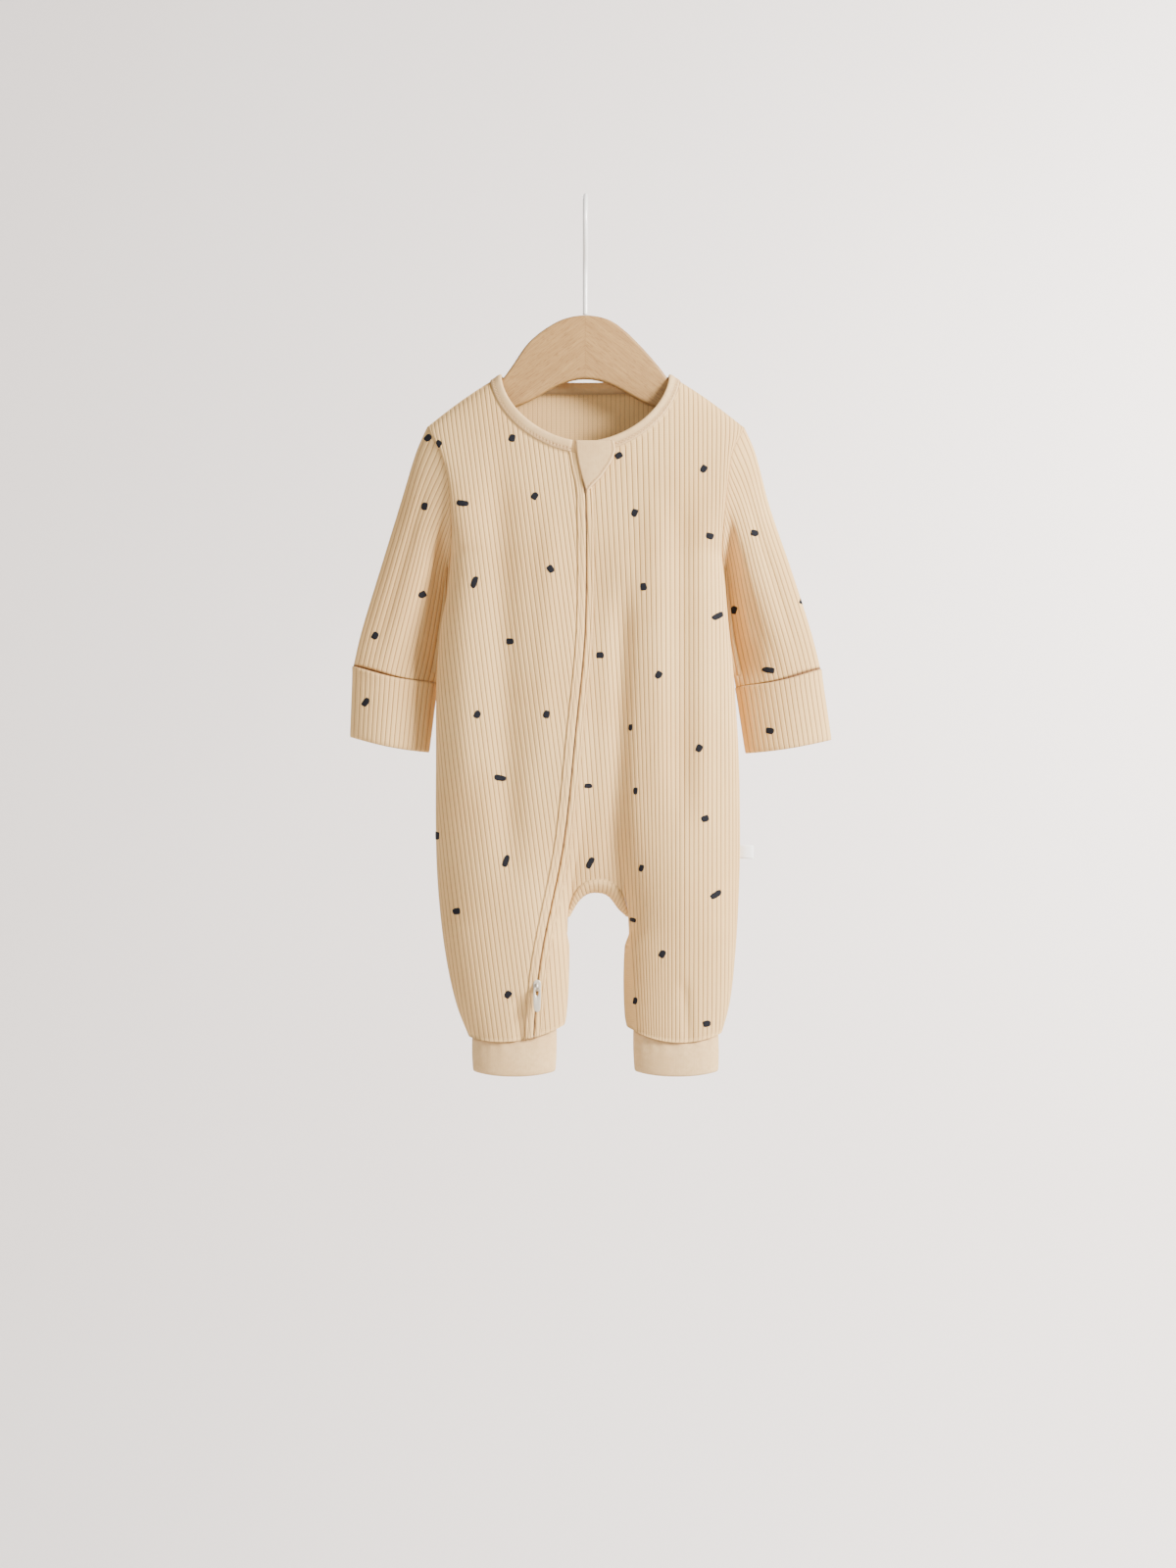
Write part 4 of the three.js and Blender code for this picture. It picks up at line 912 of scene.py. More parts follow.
# Share of the length, then x, y, z of the outer fold, x, y, z of the underarm fold, and half the depth
SLEEVES = {
    "right": [
        [0.15, -121, 1, -182, -97.5, 5, -268, 15],
        [0.35, -131.5, 2, -216, -98, 10, -290, 15],
        [0.6, -146, 3, -263, -101, 13, -316, 14],
        [0.85, -160, 4, -309, -104, 13, -338, 12.5],
        [1, -166, 4, -334.5, -106, 12, -346.5, 12],
    ],
    "left": [
        [0.15, 121.5, 1, -182, 99, 5, -268, 15],
        [0.35, 131.5, 2, -219, 100, 10, -290, 15],
        [0.6, 147, 3, -264, 102.5, 13, -317, 14],
        [0.85, 161.5, 4, -309, 106.5, 13, -340, 12.5],
        [1, 168.5, 4, -336.5, 108, 12, -349.5, 12],
    ],
}
SLEEVE_RIBS = 36
SLEEVE_DEPTH = 15
SLEEVE_ROUND = 0.72
SLEEVE_OPENS = 0.35
SLEEVE_WAVE = 1.9
SLEEVE_VALLEY = 7
# A fold down the sleeve: its place across at the top and at the foot, half width and height
SLEEVE_FOLDS = [[0.75, 0.5, 0.09, -2.0], [0.3, 0.22, 0.07, -1.1], [0.55, 0.8, 0.06, 0.8]]
ARMHOLE_OUT = 0.15
# Outer and inner corner of each wrist cuff's foot, half its depth, and its sag
WRISTS = {
    "right": ([-168, 5, -384.5], [-112, 9, -395.5], 12.5, 1.6),
    "left": ([176, 5, -386.5], [115, 9, -396.2], 12.5, 1.4),
}
CUFF_PROUD = 1.3
CUFF_WALL = 3.0


def tube(solid, outer, inner, every):
    """Closes a tube. outer and inner are grids of rings, and inner has each every-th point."""
    closed_outer = np.concatenate([outer, outer[:, :1]], 1)
    closed_inner = np.concatenate([inner, inner[:, :1]], 1)
    solid.quads(closed_outer)
    solid.quads(closed_inner[:, ::-1])
    places = [k * every for k in range(closed_inner.shape[1])]
    solid.stitch(closed_outer[0][::-1], closed_inner[0][::-1], places)
    solid.stitch(closed_outer[-1], closed_inner[-1], places)


def along_line(points, share):
    length = np.concatenate([[0], np.cumsum(np.linalg.norm(np.diff(points, axis=0), axis=1))])
    wanted = np.asarray(share) * length[-1]
    return np.stack([np.interp(wanted, length, points[:, k]) for k in range(3)], -1)


class Sleeve:
    """A flattened tube from the armhole's edge to the wrist, between its outer and underarm fold."""

    def __init__(self, arm):
        self.arm = arm
        edge, out = (left_edge, -1) if arm == "right" else (right_edge, 1)
        z = np.linspace(-162.7, ARMPIT_Z, 40)
        for _ in range(8):
            z[0] = shoulder_height(edge(z[:1]))[0]
        z = np.linspace(z[0], ARMPIT_Z, 40)
        x = edge(z) + out * ARMHOLE_OUT
        self.loops = {}
        for side in ("front", "back"):
            self.loops[side] = cloth(side, edge(z), z)
            self.loops[side][:, 0] = x
        self.top = (self.loops["front"][0] + self.loops["back"][0]) / 2
        self.foot = (self.loops["front"][-1] + self.loops["back"][-1]) / 2
        self.table = [[0, *self.top, *self.foot, SLEEVE_DEPTH], *SLEEVES[arm]]

    def point(self, t, turn):
        """Point at a share t of the length. turn goes down the front and up the back."""
        t, turn = np.broadcast_arrays(np.asarray(t, float), np.asarray(turn, float) % 1)
        front = turn <= 0.5
        across = np.where(front, 2 * turn, 2 - 2 * turn)
        sign = np.where(front, -1, 1)
        near = np.clip(t, 0, 1)
        outer = np.stack([read(self.table, near, k) for k in (1, 2, 3)], -1)
        inner = np.stack([read(self.table, near, k) for k in (4, 5, 6)], -1)
        chord = mix(outer, inner, across[..., None])
        loop = np.where(
            front[..., None],
            along_line(self.loops["front"], across),
            along_line(self.loops["back"], across),
        )
        start = loop - mix(self.top, self.foot, across[..., None])
        opened = smooth(t / SLEEVE_OPENS)
        round_share = np.maximum(np.sin(np.pi * across), 0) ** SLEEVE_ROUND
        fold = 0
        for top, foot, half_width, height in SLEEVE_FOLDS:
            fold = fold + height * np.exp(-(((across - mix(top, foot, t)) / half_width) ** 2))
        fold = fold * smooth((1.05 - t) / 0.4)
        depth = sign * np.maximum(read(self.table, near, 7) * round_share + fold, 0)
        made = chord + start * (1 - opened)[..., None]
        made[..., 1] += depth * opened
        # The front dips behind the edge of the body
        dip = smooth((across - 0.52) / 0.28) * smooth((1 - across) / 0.12)
        made[..., 1] += front * SLEEVE_VALLEY * dip * smooth(t / 0.2) * smooth((1.04 - t) / 0.3)
        made[..., 2] -= SLEEVE_WAVE * np.maximum(np.sin(np.pi * across), 0) ** 1.5 * t * t + 46 * np.maximum(t - 1, 0)
        return made

    def normal(self, t, turn):
        step = 0.004
        t = np.clip(t, 0.01, 0.99)
        along_t = self.point(t + step, turn) - self.point(t - step, turn)
        along_turn = self.point(t, turn + step) - self.point(t, turn - step)
        normal = unit(np.cross(along_t, along_turn))
        middle = (self.point(t, 0.0 * turn) + self.point(t, 0.0 * turn + 0.5)) / 2
        facing = ((self.point(t, turn) - middle) * normal).sum(-1, keepdims=True)
        return normal * np.where(facing < 0, -1, 1)

    def surface(self, t, turn, lift=0.0):
        return self.point(t, turn) + self.normal(t, turn) * np.asarray(lift)[..., None]

    def foot_point(self, turn):
        outer, inner, depth, sag = WRISTS[self.arm]
        front = turn <= 0.5
        across = np.where(front, 2 * turn, 2 - 2 * turn)
        made = mix(np.array(outer), np.array(inner), across[..., None])
        bulge = np.sin(np.pi * across)
        made[..., 1] += np.where(front, -1, 1) * depth * np.maximum(bulge, 0) ** SLEEVE_ROUND
        made[..., 2] -= sag * bulge
        return made

    def cuff_surface(self, share, turn, lift=0.0):
        """Point of the turned-over cuff, from its top edge at share 0 to its fold at 1."""
        share, turn = np.broadcast_arrays(share, turn)
        top = self.point(np.ones_like(share), turn)
        made = mix(top, self.foot_point(turn), share[..., None])
        return made + self.normal(np.ones_like(share), turn) * np.asarray(lift)[..., None]


SHAPES = {arm: Sleeve(arm) for arm in ("right", "left")}
TURNS = rib_places(0, SLEEVE_RIBS * PITCH)
TURNS = TURNS[TURNS < SLEEVE_RIBS * PITCH - 0.01]


def beside_folds(turn):
    """1 on the front and the back of a sleeve, and 0 on its two folds."""
    return 1 - np.exp(-((np.minimum(turn % 0.5, 0.5 - turn % 0.5) / 0.03) ** 2))


def sleeve_mesh(arm):
    shape = SHAPES[arm]
    solid = Solid()
    ending = [0.973, 0.979, 0.983, 0.987, 0.991, 0.995, 1.0, 1.01, 1.06]
    rows = np.concatenate([[0, 0.006, 0.016], np.linspace(0.03, 0.965, 58), ending])[:, None]
    turn = (TURNS / (SLEEVE_RIBS * PITCH))[None, :]
    share = rib(TURNS)[None, :]
    # The gap where the sleeve goes into the turned-over cuff: the cloth dips there and carries a dark band of painted
    # shade, on top of painted shade in the rib grooves
    open_gap = 0.0048 + 0.0035 * np.exp(-(((turn - 0.15) / 0.1) ** 2))
    dark = np.exp(-(((rows - 0.992) / open_gap) ** 2))
    sides = beside_folds(turn)
    flat = smooth(rows / 0.02)
    run = rows * 175 + 0 * turn
    outer = solid.add(
        shape.surface(rows + 0 * turn, turn + 0 * rows, RIB_HEIGHT * share * flat - 1.6 * dark * sides),
        place=TURNS[None, :] + 0 * rows,
        run=run,
        groove=np.maximum((1 - share) * mix(0.6, 1, flat), 2 * dark),
    )
    few = turn[:, ::PER_RIB]
    # The inside gets a flat share of painted shade
    inner = solid.add(
        shape.surface(rows + 0 * few, few + 0 * rows, -WALL + 0 * rows * few),
        place=TURNS[None, ::PER_RIB] + 0 * rows,
        groove=0.3,
    )
    tube(solid, outer, inner, PER_RIB)
    print_sleeve(solid, SLEEVE_DASHES[arm], shape.surface, 0.0)
    made = solid.make(f"sleeve_{arm}_cloth", RIB)
    return wear(made, f"sleeve_{arm}", "rib", (0.19, 0.175), 0.021)


def wrist_mesh(arm):
    shape = SHAPES[arm]
    solid = Solid()
    turn = (TURNS / (SLEEVE_RIBS * PITCH))[None, :]
    share = rib(TURNS)[None, :]
    # Share of the way down, and how far the cloth stands out: a rolled top edge and a round fold
    profile = [(0.03, 0.1), (0.0, 0.5), (-0.012, 1.1), (-0.006, 1.6), (0.02, 1.75), (0.06, 1.5)]
    profile += [(s, 1.2) for s in np.linspace(0.12, 0.92, 15)]
    profile += [(0.96, 1.05), (0.985, 0.6), (1.0, 0.0), (1.0, -0.8), (0.985, -1.4)]
    rows = np.array([p[0] for p in profile])[:, None]
    lift = np.array([p[1] for p in profile])[:, None]
    ribbed = np.interp(rows, [-0.02, 0.02, 0.97, 1.0], [0.25, 1, 1, 0.7])
    sides = mix(0.3, 1, beside_folds(turn))
    mouth = CUFF_MOUTH * np.exp(-(((turn - 0.12) / 0.1) ** 2)) * np.exp(-np.maximum(rows, 0) / 0.2)
    # Painted shade in the rib grooves and in a dark line under the rolled top edge; the inside gets a flat share of it
    outer = solid.add(
        shape.cuff_surface(rows, turn, lift * sides + mouth + RIB_HEIGHT * share * ribbed),
        place=TURNS[None, :] + 0 * rows,
        run=rows * 46 + 0 * turn,
        groove=np.maximum((1 - share) * ribbed, np.interp(rows, [-0.012, 0.0], [1, 0]) + 0 * share),
    )
    few = turn[:, ::PER_RIB]
    back = np.array([-0.01, 0.03, 0.2, 0.5, 0.8, 0.96])[:, None]
    inside = np.array([-0.9, -1.3, -1.7, -1.8, -1.8, -1.7])[:, None]
    inner = solid.add(
        shape.cuff_surface(back + 0 * few, few + 0 * back, inside + 0 * few),
        place=TURNS[None, ::PER_RIB] + 0 * back,
        groove=0.5,
    )
    tube(solid, outer, inner, PER_RIB)
    print_sleeve(solid, CUFF_DASHES[arm], shape.cuff_surface, 1.2)
    made = solid.make(f"wrist_cuff_{arm}_cloth", RIB)
    return wear(made, f"wrist_cuff_{arm}", "rib", (0.115, 0.075), None, "folded")


CUFF_MOUTH = 0.8
for arm in ("right", "left"):
    sleeve_mesh(arm)
    wrist_mesh(arm)

# Ankle cuffs: x of both edges at the top and at the bottom
ANKLES = {"right": ((-80.6, -20.6), (-80, -21.2)), "left": ((34.4, 94.9), (35.2, 95))}
ANKLE_BOTTOM = -624.5
ANKLE_WALL = 2
ANKLE_DEPTHS = (15.2, 13.2)
ANKLE_SIDES = 160


def ankle_mesh(leg):
    top, bottom = ANKLES[leg]
    solid = Solid()

    def surface(share, turn, lift):
        low, high = mix(top[0], bottom[0], share), mix(top[1], bottom[1], share)
        depth = mix(*ANKLE_DEPTHS, share)
        cos, sin = np.cos(turn), np.sin(turn)
        puckers = 0.35 * np.sin(turn * 17 + 1.3 * np.sin(turn * 3)) * np.exp(-np.maximum(share, 0) / 0.25)
        belly = 0.5 * np.sin(np.pi * np.clip(share, 0, 1))
        out = lift + puckers + belly
        x = (low + high) / 2 + ((high - low) / 2 + out) * np.sign(cos) * np.abs(cos) ** 0.9
        y = (depth + out) * np.sign(sin) * np.abs(sin) ** 0.85
        z_top = hem_height(x) - 0.2
        foot = ANKLE_BOTTOM - 3 * (sin * sin - 0.5)
        return point(x, y, mix(z_top, foot, share))

    profile = [(-0.09, -1.6), (-0.03, -0.7), (0.02, -0.15), (0.08, 0)]
    profile += [(s, 0) for s in np.linspace(0.16, 0.88, 10)]
    profile += [(0.94, -0.05), (0.975, -0.3), (0.995, -0.8), (1, -1.3)]
    rows = np.array([p[0] for p in profile])[:, None]
    lift = np.array([p[1] for p in profile])[:, None]
    turn = np.linspace(0, 2 * np.pi, ANKLE_SIDES, endpoint=False)[None, :]
    # Painted shade along the top, where the cuff meets the leg's hem; the inside gets a flat share of it
    outer = solid.add(
        surface(rows, turn, lift + 0 * turn),
        run=rows * 24 + 0 * turn,
        place=turn * 20 + 0 * rows,
        groove=np.exp(-np.maximum(rows, 0) / 0.05) * 0.5 + 0 * turn,
    )
    few = turn[:, ::4]
    back = np.array([-0.07, 0.1, 0.5, 0.9, 0.985])[:, None]
    inside = np.array([-2.6, -2.3, -2.2, -2.2, -2.1])[:, None]
    inner = solid.add(surface(back, few, inside + 0 * few), groove=0.4)
    tube(solid, outer, inner, 4)
    made = solid.make(f"ankle_cuff_{leg}_cloth", JERSEY_CLOTH)
    return wear(made, f"ankle_cuff_{leg}", "jersey", (0.13, 0.036), None, "folded")


for leg in ("right", "left"):
    ankle_mesh(leg)

# Gusset

GUSSET_RIBS = 22
GUSSET_ENDS = 0.1
GUSSET_AIM = 10
GUSSET_ROUND = 4.5
GUSSET_FULL = 0.5


def gusset_mesh():
    """The gusset hangs between the front and back crotch seams, and its ribs run front to back."""
    turn = np.linspace(np.pi, 0, 200)
    x = CROTCH_X + CROTCH_HALF * np.sign(np.cos(turn)) * np.abs(np.cos(turn)) ** (2 / CROTCH_POWER)
    z = crotch_height(np.clip(x, CROTCH_ENDS[0] + 0.001, CROTCH_ENDS[1] - 0.001))
    seams = [cloth("front", x, z), cloth("back", x, z)]

    def inward(points):
        return unit(point(CROTCH_X - points[..., 0], 0, CROTCH_Z - GUSSET_AIM - points[..., 2]))

    def surface(share, back):
        share, back = np.broadcast_arrays(share, back)
        at = mix(GUSSET_ENDS, 1 - GUSSET_ENDS, share)
        base = mix(along_line(seams[0], at), along_line(seams[1], at), back[..., None])
        arch = np.sin(np.pi * np.clip(share, 0, 1)) ** 0.7
        arch = arch * (1 + GUSSET_FULL * np.exp(-(((share - 0.82) / 0.2) ** 2)))
        hang = 0.1 + CROTCH_SAG * (1 - np.abs(2 * back - 1) ** GUSSET_ROUND) * arch
        hang = hang + 0.8 * np.exp(-np.minimum(share, 1 - share) / 0.06)
        return base + inward(base) * hang[..., None]

    def lifted(share, back, lift):
        step = 0.004
        inner_share = np.clip(share, 0.01, 0.99)
        inner_back = np.clip(back, 0.01, 0.99)
        along = surface(inner_share + step, inner_back) - surface(inner_share - step, inner_back)
        across = surface(inner_share, inner_back + step) - surface(inner_share, inner_back - step)
        normal = unit(np.cross(along, across))
        base = surface(share, back)
        normal *= np.where((normal * inward(base)).sum(-1, keepdims=True) < 0, -1, 1)
        return base + normal * lift[..., None]

    places = rib_places(0, GUSSET_RIBS * PITCH)
    places = places[places <= GUSSET_RIBS * PITCH + 0.01][: GUSSET_RIBS * PER_RIB + 1]
    shares = (places / (GUSSET_RIBS * PITCH))[None, :]
    backs = np.linspace(0, 1, 19)[:, None]
    ends = smooth(np.minimum(backs, 1 - backs) / 0.06) * smooth(np.minimum(shares, 1 - shares) / 0.02)
    relief = rib(places)[None, :] * ends
    solid = Solid()
    # Painted shade in the rib grooves; the inside gets a flat share of it
    outer = solid.add(
        lifted(shares + 0 * backs, backs + 0 * shares, RIB_HEIGHT * relief),
        place=places[None, :] + 0 * backs,
        run=backs * 50 + 0 * shares,
        groove=(1 - rib(places))[None, :] + 0 * backs,
    )
    few = shares[:, ::PER_RIB]
    inner = solid.add(
        lifted(few + 0 * backs, backs + 0 * few, -WALL + 0 * backs * few),
        place=places[None, ::PER_RIB] + 0 * backs,
        groove=0.3,
    )
    solid.quads(outer)
    solid.quads(inner[:, ::-1])
    count = outer.shape[1]
    places = list(range(0, count, PER_RIB))
    solid.stitch(outer[0][::-1], inner[0][::-1], places)
    solid.stitch(outer[-1], inner[-1], places)
    solid.quads(np.stack([outer[:, 0], inner[:, 0]], 1))
    solid.quads(np.stack([inner[:, -1], outer[:, -1]], 1))
    return wear(solid.make("crotch_gusset_cloth", RIB), "crotch_gusset", "rib", (0.078, 0.05), 0.0017)


gusset_mesh()


def bar(solid, sections, **values):
    """Joins sections with the same number of points, and closes both ends."""
    grid = solid.add(sections, **values)
    solid.quads(np.concatenate([grid, grid[:, :1]], 1))
    solid.fan(grid[0], True)
    solid.fan(grid[-1])
    return grid


def stitches(solid, starts, ends, normals, radius, value=0.0):
    """Small rounded bars of thread between two lists of points."""
    along = unit(ends - starts)
    aside = np.cross(along, normals)
    for k, (start, end) in enumerate(zip(starts, ends)):
        rings = []
        for share, size, sink in ((0, 0.15, -0.7), (0.12, 0.8, 0.1), (0.5, 1, 0.45), (0.88, 0.8, 0.1), (1, 0.15, -0.7)):
            middle = mix(start, end, share) + normals[k] * radius * sink
            turn = np.arange(6) / 6 * 2 * np.pi
            ring = middle + radius * size * (
                np.cos(turn)[:, None] * aside[k] + np.sin(turn)[:, None] * normals[k]
            )
            rings.append(ring)
        # value is the painted shade the thread gets
        bar(solid, np.array(rings), groove=value)


# Neck binding: share across the band and height over the cloth
BINDING_PROFILE = [
    (-0.02, -0.5),
    (-0.03, 0.15),
    (0.02, 0.75),
    (0.12, 1.1),
    (0.26, 1.15),
    (0.4, 1.0),
    (0.52, 0.86),
    (0.64, 0.8),
    (0.72, 0.5),
    (0.8, 0.78),
    (0.88, 0.72),
    (0.95, 0.45),
    (1.0, -0.05),
    (1.0, -1.1),
    (0.5, -1.5),
    (0.08, -1.4),
]
# Painted shade at each point of the profile: in the ditches by the stitches and along the band's lower edge, deepest at
# the edge
BINDING_SHADE = [0.4, 0.2, 0, 0, 0, 0.1, 0.3, 0.9, 0.4, 0.9, 0.3, 0.2, 1.2, 0.8, 0.3, 0.3]
BINDING_ENDS = (0.18, 0.12)


def binding_edge(side, turn, width):
    cos, sin = np.cos(turn), np.maximum(np.sin(turn), 0)
    outset = width * (1 - 0.04 * np.abs(cos) ** 6)
    z = NECK_Z - (NECK_DROP[side] + outset) * sin ** (2 / NECK_POWER[side])
    x = (NECK_HALF_WIDTH + outset) * np.sign(cos) * np.abs(cos) ** (2 / NECK_POWER[side])
    return x, np.minimum(z, shoulder_height(x))


def binding_points(side, turn, across, lift):
    x0, z0 = binding_edge(side, turn, 0)
    x1, z1 = binding_edge(side, turn, BINDING_WIDTH)
    return cloth(side, mix(x0, x1, across), mix(z0, z1, across), lift)


def binding_mesh():
    front = np.linspace(1, 0, 61) ** 1.7
    back = smooth(np.linspace(0, 1, 90))[1:-1]
    across = np.array([p[0] for p in BINDING_PROFILE])[None, :]
    lift = np.array([p[1] for p in BINDING_PROFILE])[None, :]
    blocks = [
        ("front", np.pi - (np.pi / 2 - BINDING_ENDS[0]) * front),
        ("back", np.pi * (1 - back)),
        ("front", (np.pi / 2 + BINDING_ENDS[1]) * front[::-1]),
    ]
    sections = []
    for side, turn in blocks:
        waves = 0.12 * np.sin(turn * 31) * np.exp(-(((across - 0.3) / 0.3) ** 2).T).T[:, :1]
        sections.append(binding_points(side, turn[:, None], across, lift + 0 * turn[:, None] + waves[0, 0]))
    sections = np.concatenate(sections)
    solid = Solid()
    run = np.arange(len(sections))[:, None] * 1.6 + 0 * across
    bar(solid, sections, groove=np.array(BINDING_SHADE)[None, :] + 0 * run, run=run, place=across * 8 + 0 * run)
    # Cover stitches along the seam's edge
    for row in (0.66, 0.79):
        line = np.concatenate([
            binding_points(side, turn[:, None], np.array([[row]]), np.array([[0.72]]))[:, 0]
            for side, turn in blocks
        ])
        step = np.linalg.norm(line[1:] - line[:-1], axis=1)
        length = np.concatenate([[0], np.cumsum(step)])
        at = np.arange(1.5, length[-1] - 2.5, 2.6)
        ends = [np.stack([np.interp(at + d, length, line[:, k]) for k in range(3)], -1) for d in (0, 1.7)]
        centre = np.array([0, 0, -175.0])
        away = unit((ends[0] - centre) * np.array([0.35, 1, 0.35]))
        stitches(solid, ends[0], ends[1], away, 0.34, 0.0)
    made = solid.make("neck_binding_cloth", JERSEY_CLOTH)
    return wear(made, "neck_binding", "jersey", (0.30, 0.0105), None, "folded")


binding_mesh()

# Zip facings and tape

TORSO_SHARES = np.linspace(0, 1, 300)
LEG_SHARES = np.linspace(1, 2, 70)[1:]


def zip_solve(aside, rows):
    x = np.zeros(np.broadcast(aside, rows).shape)
    z = x - 200.0
    for turn in range(20):
        x = zip_line(z) + aside
        top = panel_top("front", x) - 0.1
        z = row_height(rows, x, False, top, hem_height(x) + 0.1)
    return x, z


def facing_mesh(name, sign, width, panel):
    """A folded band beside the slit, topstitched near its seam. Its ribs run on from the panel."""
    # Share from the fold at the slit to the seam, height over the cloth, and how much painted shade it gets: deep in
    # the slit, the stitch ditch and at the seam
    profile = [
        (0, -0.9, 0.9),
        (-0.02, -0.2, 0.4),
        (0.02, 0.45, 0.05),
        (0.1, 0.85, 0),
        (0.22, 1.0, 0),
        (0.35, 0.95, 0),
        (0.47, 0.85, 0.05),
        (0.56, 0.75, 0.3),
        (0.62, 0.5, 0.75),
        (0.68, 0.78, 0.25),
        (0.78, 0.95, 0),
        (0.88, 0.85, 0.05),
        (0.95, 0.45, 0.4),
        (1.0, -0.3, 1.0),
        (1.0, -1.5, 0.6),
        (0.5, -1.5, 0.4),
        (0.05, -1.5, 0.6),
    ]
    across, lift, dark = (np.array([p[k] for p in profile])[None, :] for k in range(3))
    rows = np.concatenate([TORSO_SHARES, LEG_SHARES])[:, None]
    aside = sign * (SLIT + width * across)
    x, z = zip_solve(aside, rows)
    place = panel.place_at(x, z)
    face = (lift > 0.3) * 1.0
    relief = (rib(place) - 0.7) * 0.3 * face
    pucker = 0.12 * np.sin(z / 3.1 + 2 * np.sin(z / 17)) * face
    solid = Solid()
    # The rib grooves on the band's face also get painted shade
    bar(
        solid,
        cloth("front", x, z, lift + relief + pucker),
        place=place,
        run=-z,
        groove=np.maximum(dark, (1 - rib(place)) * 0.55 * face),
    )
    made = solid.make(f"{name}_cloth", RIB)
    return wear(made, name, "rib", (0.455, 0.0102), 0.0036, "folded")


facing_mesh("zip_facing_right", -1, FACING_RIGHT, PANELS["front_right_panel"])
facing_mesh("zip_facing_left", 1, FACING_LEFT, PANELS["front_left_panel"])


def tape_mesh():
    solid = Solid()
    rows = np.concatenate([TORSO_SHARES[::3], LEG_SHARES[::3], [2.0]])[:, None]
    aside = np.array([-6, -3, -0.9, 0.9, 3, 6, 6, -6.0])[None, :]
    lift = TAPE_BACK + np.array([0, 0.1, 0, 0, 0.1, 0, -0.8, -0.8])[None, :]
    x, z = zip_solve(aside, rows)
    bar(solid, cloth("front", x, z, lift + 0 * rows), groove=0.6, run=-z)
    made = solid.make("zip_tape_cloth", TAPE)
    return wear(made, "zip_tape", "tape", (0.45, 0.014))


def tape_material():
    nodes = Nodes("zip_tape")
    weave = nodes.node("ShaderNodeTexWave", wave_type="BANDS", bands_direction="DIAGONAL")
    weave.inputs["Scale"].default_value = 0.5
    nodes.link(nodes.place(), weave.inputs["Vector"])
    colour = nodes.blend(weave.outputs["Fac"], (0.62, 0.49, 0.36, 1), (0.7, 0.57, 0.43, 1))
    nodes.bump(weave.outputs["Fac"], 0.3, 0.0003)
    return nodes.finish(colour, nodes.range(nodes.noise(1.5), 0, 1, 0.75, 0.95))


TAPE = tape_material()
tape_mesh()

# Chin guard: height, then x of its left and right edge

GUARD = [
    [-174.5, -6.9, 20.3],
    [-179, -6.6, 21.2],
    [-183, -6.2, 21.2],
    [-190.5, -4.9, 18.2],
    [-196, -3.6, 14.6],
    [-200.5, -2.4, 11.5],
    [-207, -0.4, 5.2],
    [-211.5, 0.8, 1.8],
]
GUARD_BACK = 1.3


def guard_mesh():
    """A shield of plain cloth over the top of the zip, topstitched along its right edge."""
    rows = np.linspace(GUARD[0][0], GUARD[-1][0], 40)[:, None]
    low, high = read(GUARD, rows, 1), read(GUARD, rows, 2)
    across = np.sin(np.linspace(-0.5, 0.5, 33) * np.pi)[None, :] / 2 + 0.5
    x = mix(low, high, across)
    z = rows - 0.35 * np.sin(np.pi * across) + 0 * across
    from_right = (high - x) * np.cos(np.arctan(np.gradient(high[:, 0], rows[:, 0])))[:, None]
    from_left = x - low
    from_foot = z - GUARD[-1][0]
    from_top = GUARD[0][0] - z
    near = np.minimum(np.minimum(from_right, from_left), np.minimum(from_foot + 0.5, from_top))
    body = 1.35 * smooth(near / 0.8) ** 0.6
    ditch = np.exp(-(((from_right - 2.2) / 0.5) ** 2))
    belly = 0.5 * np.sin(np.pi * across) * smooth(from_foot / 20)
    solid = Solid()
    # Painted shade in the stitch ditch and along the edges, and a little over the part beyond the ditch so that the
    # rolled border looks lighter; the inside gets some too
    lift = GUARD_BACK + body - 0.6 * ditch + belly
    outer = solid.add(
        cloth("front", x, z, lift), run=-z, place=x, groove=0.9 * ditch + 0.5 * (1 - smooth(near / 0.5)) + 0.14 * smooth((from_right - 2.4) / 0.4)
    )
    inner = solid.add(cloth("front", x, z, GUARD_BACK - 0.2 + 0 * x), groove=0.5)
    solid.quads(outer)
    solid.quads(inner[:, ::-1])
    for a, b in ((outer[0][::-1], inner[0][::-1]), (outer[-1], inner[-1])):
        solid.quads(np.stack([a, b]))
    solid.quads(np.stack([outer[:, 0], inner[:, 0]], 1))
    solid.quads(np.stack([inner[:, -1], outer[:, -1]], 1))
    at = np.arange(-176.5, -207.0, -2.1)
    for z0 in at:
        z1 = z0 - 1.35
        ends = []
        for height in (z0, z1):
            edge = float(read(GUARD, np.array(height), 2)) - 2.9
            ends.append(cloth("front", np.array([edge]), np.array([height]), np.array([GUARD_BACK + 1.45])))
        stitches(solid, ends[0], ends[1], np.array([[0.0, -1.0, 0.0]]), 0.2, 0.1)
    made = solid.make("chin_guard_cloth", JERSEY_CLOTH)
    return wear(made, "chin_guard", "jersey", (0.03, 0.04), 0.0008)


guard_mesh()

# Zip slider and its tab


def zip_material(name, colour, metal, rough):
    nodes = Nodes(name)
    grain = nodes.noise(0.8, 3)
    worn = nodes.noise(0.15, 2)
    shade = nodes.blend(nodes.range(grain, 0.3, 0.7, 0, 0.25), colour, tuple(c * 0.82 for c in colour[:3]) + (1,))
    nodes.bump(grain, 0.08, 0.0002)
    return nodes.finish(shade, nodes.range(worn, 0.3, 0.7, rough - 0.08, rough + 0.12), Metallic=metal)


ZIP_PAINT = zip_material("zip_paint", (0.58, 0.52, 0.42, 1), 0.15, 0.32)
SLIDER_Z = -562
SLIDER_TOP = SLIDER_Z + 5.4


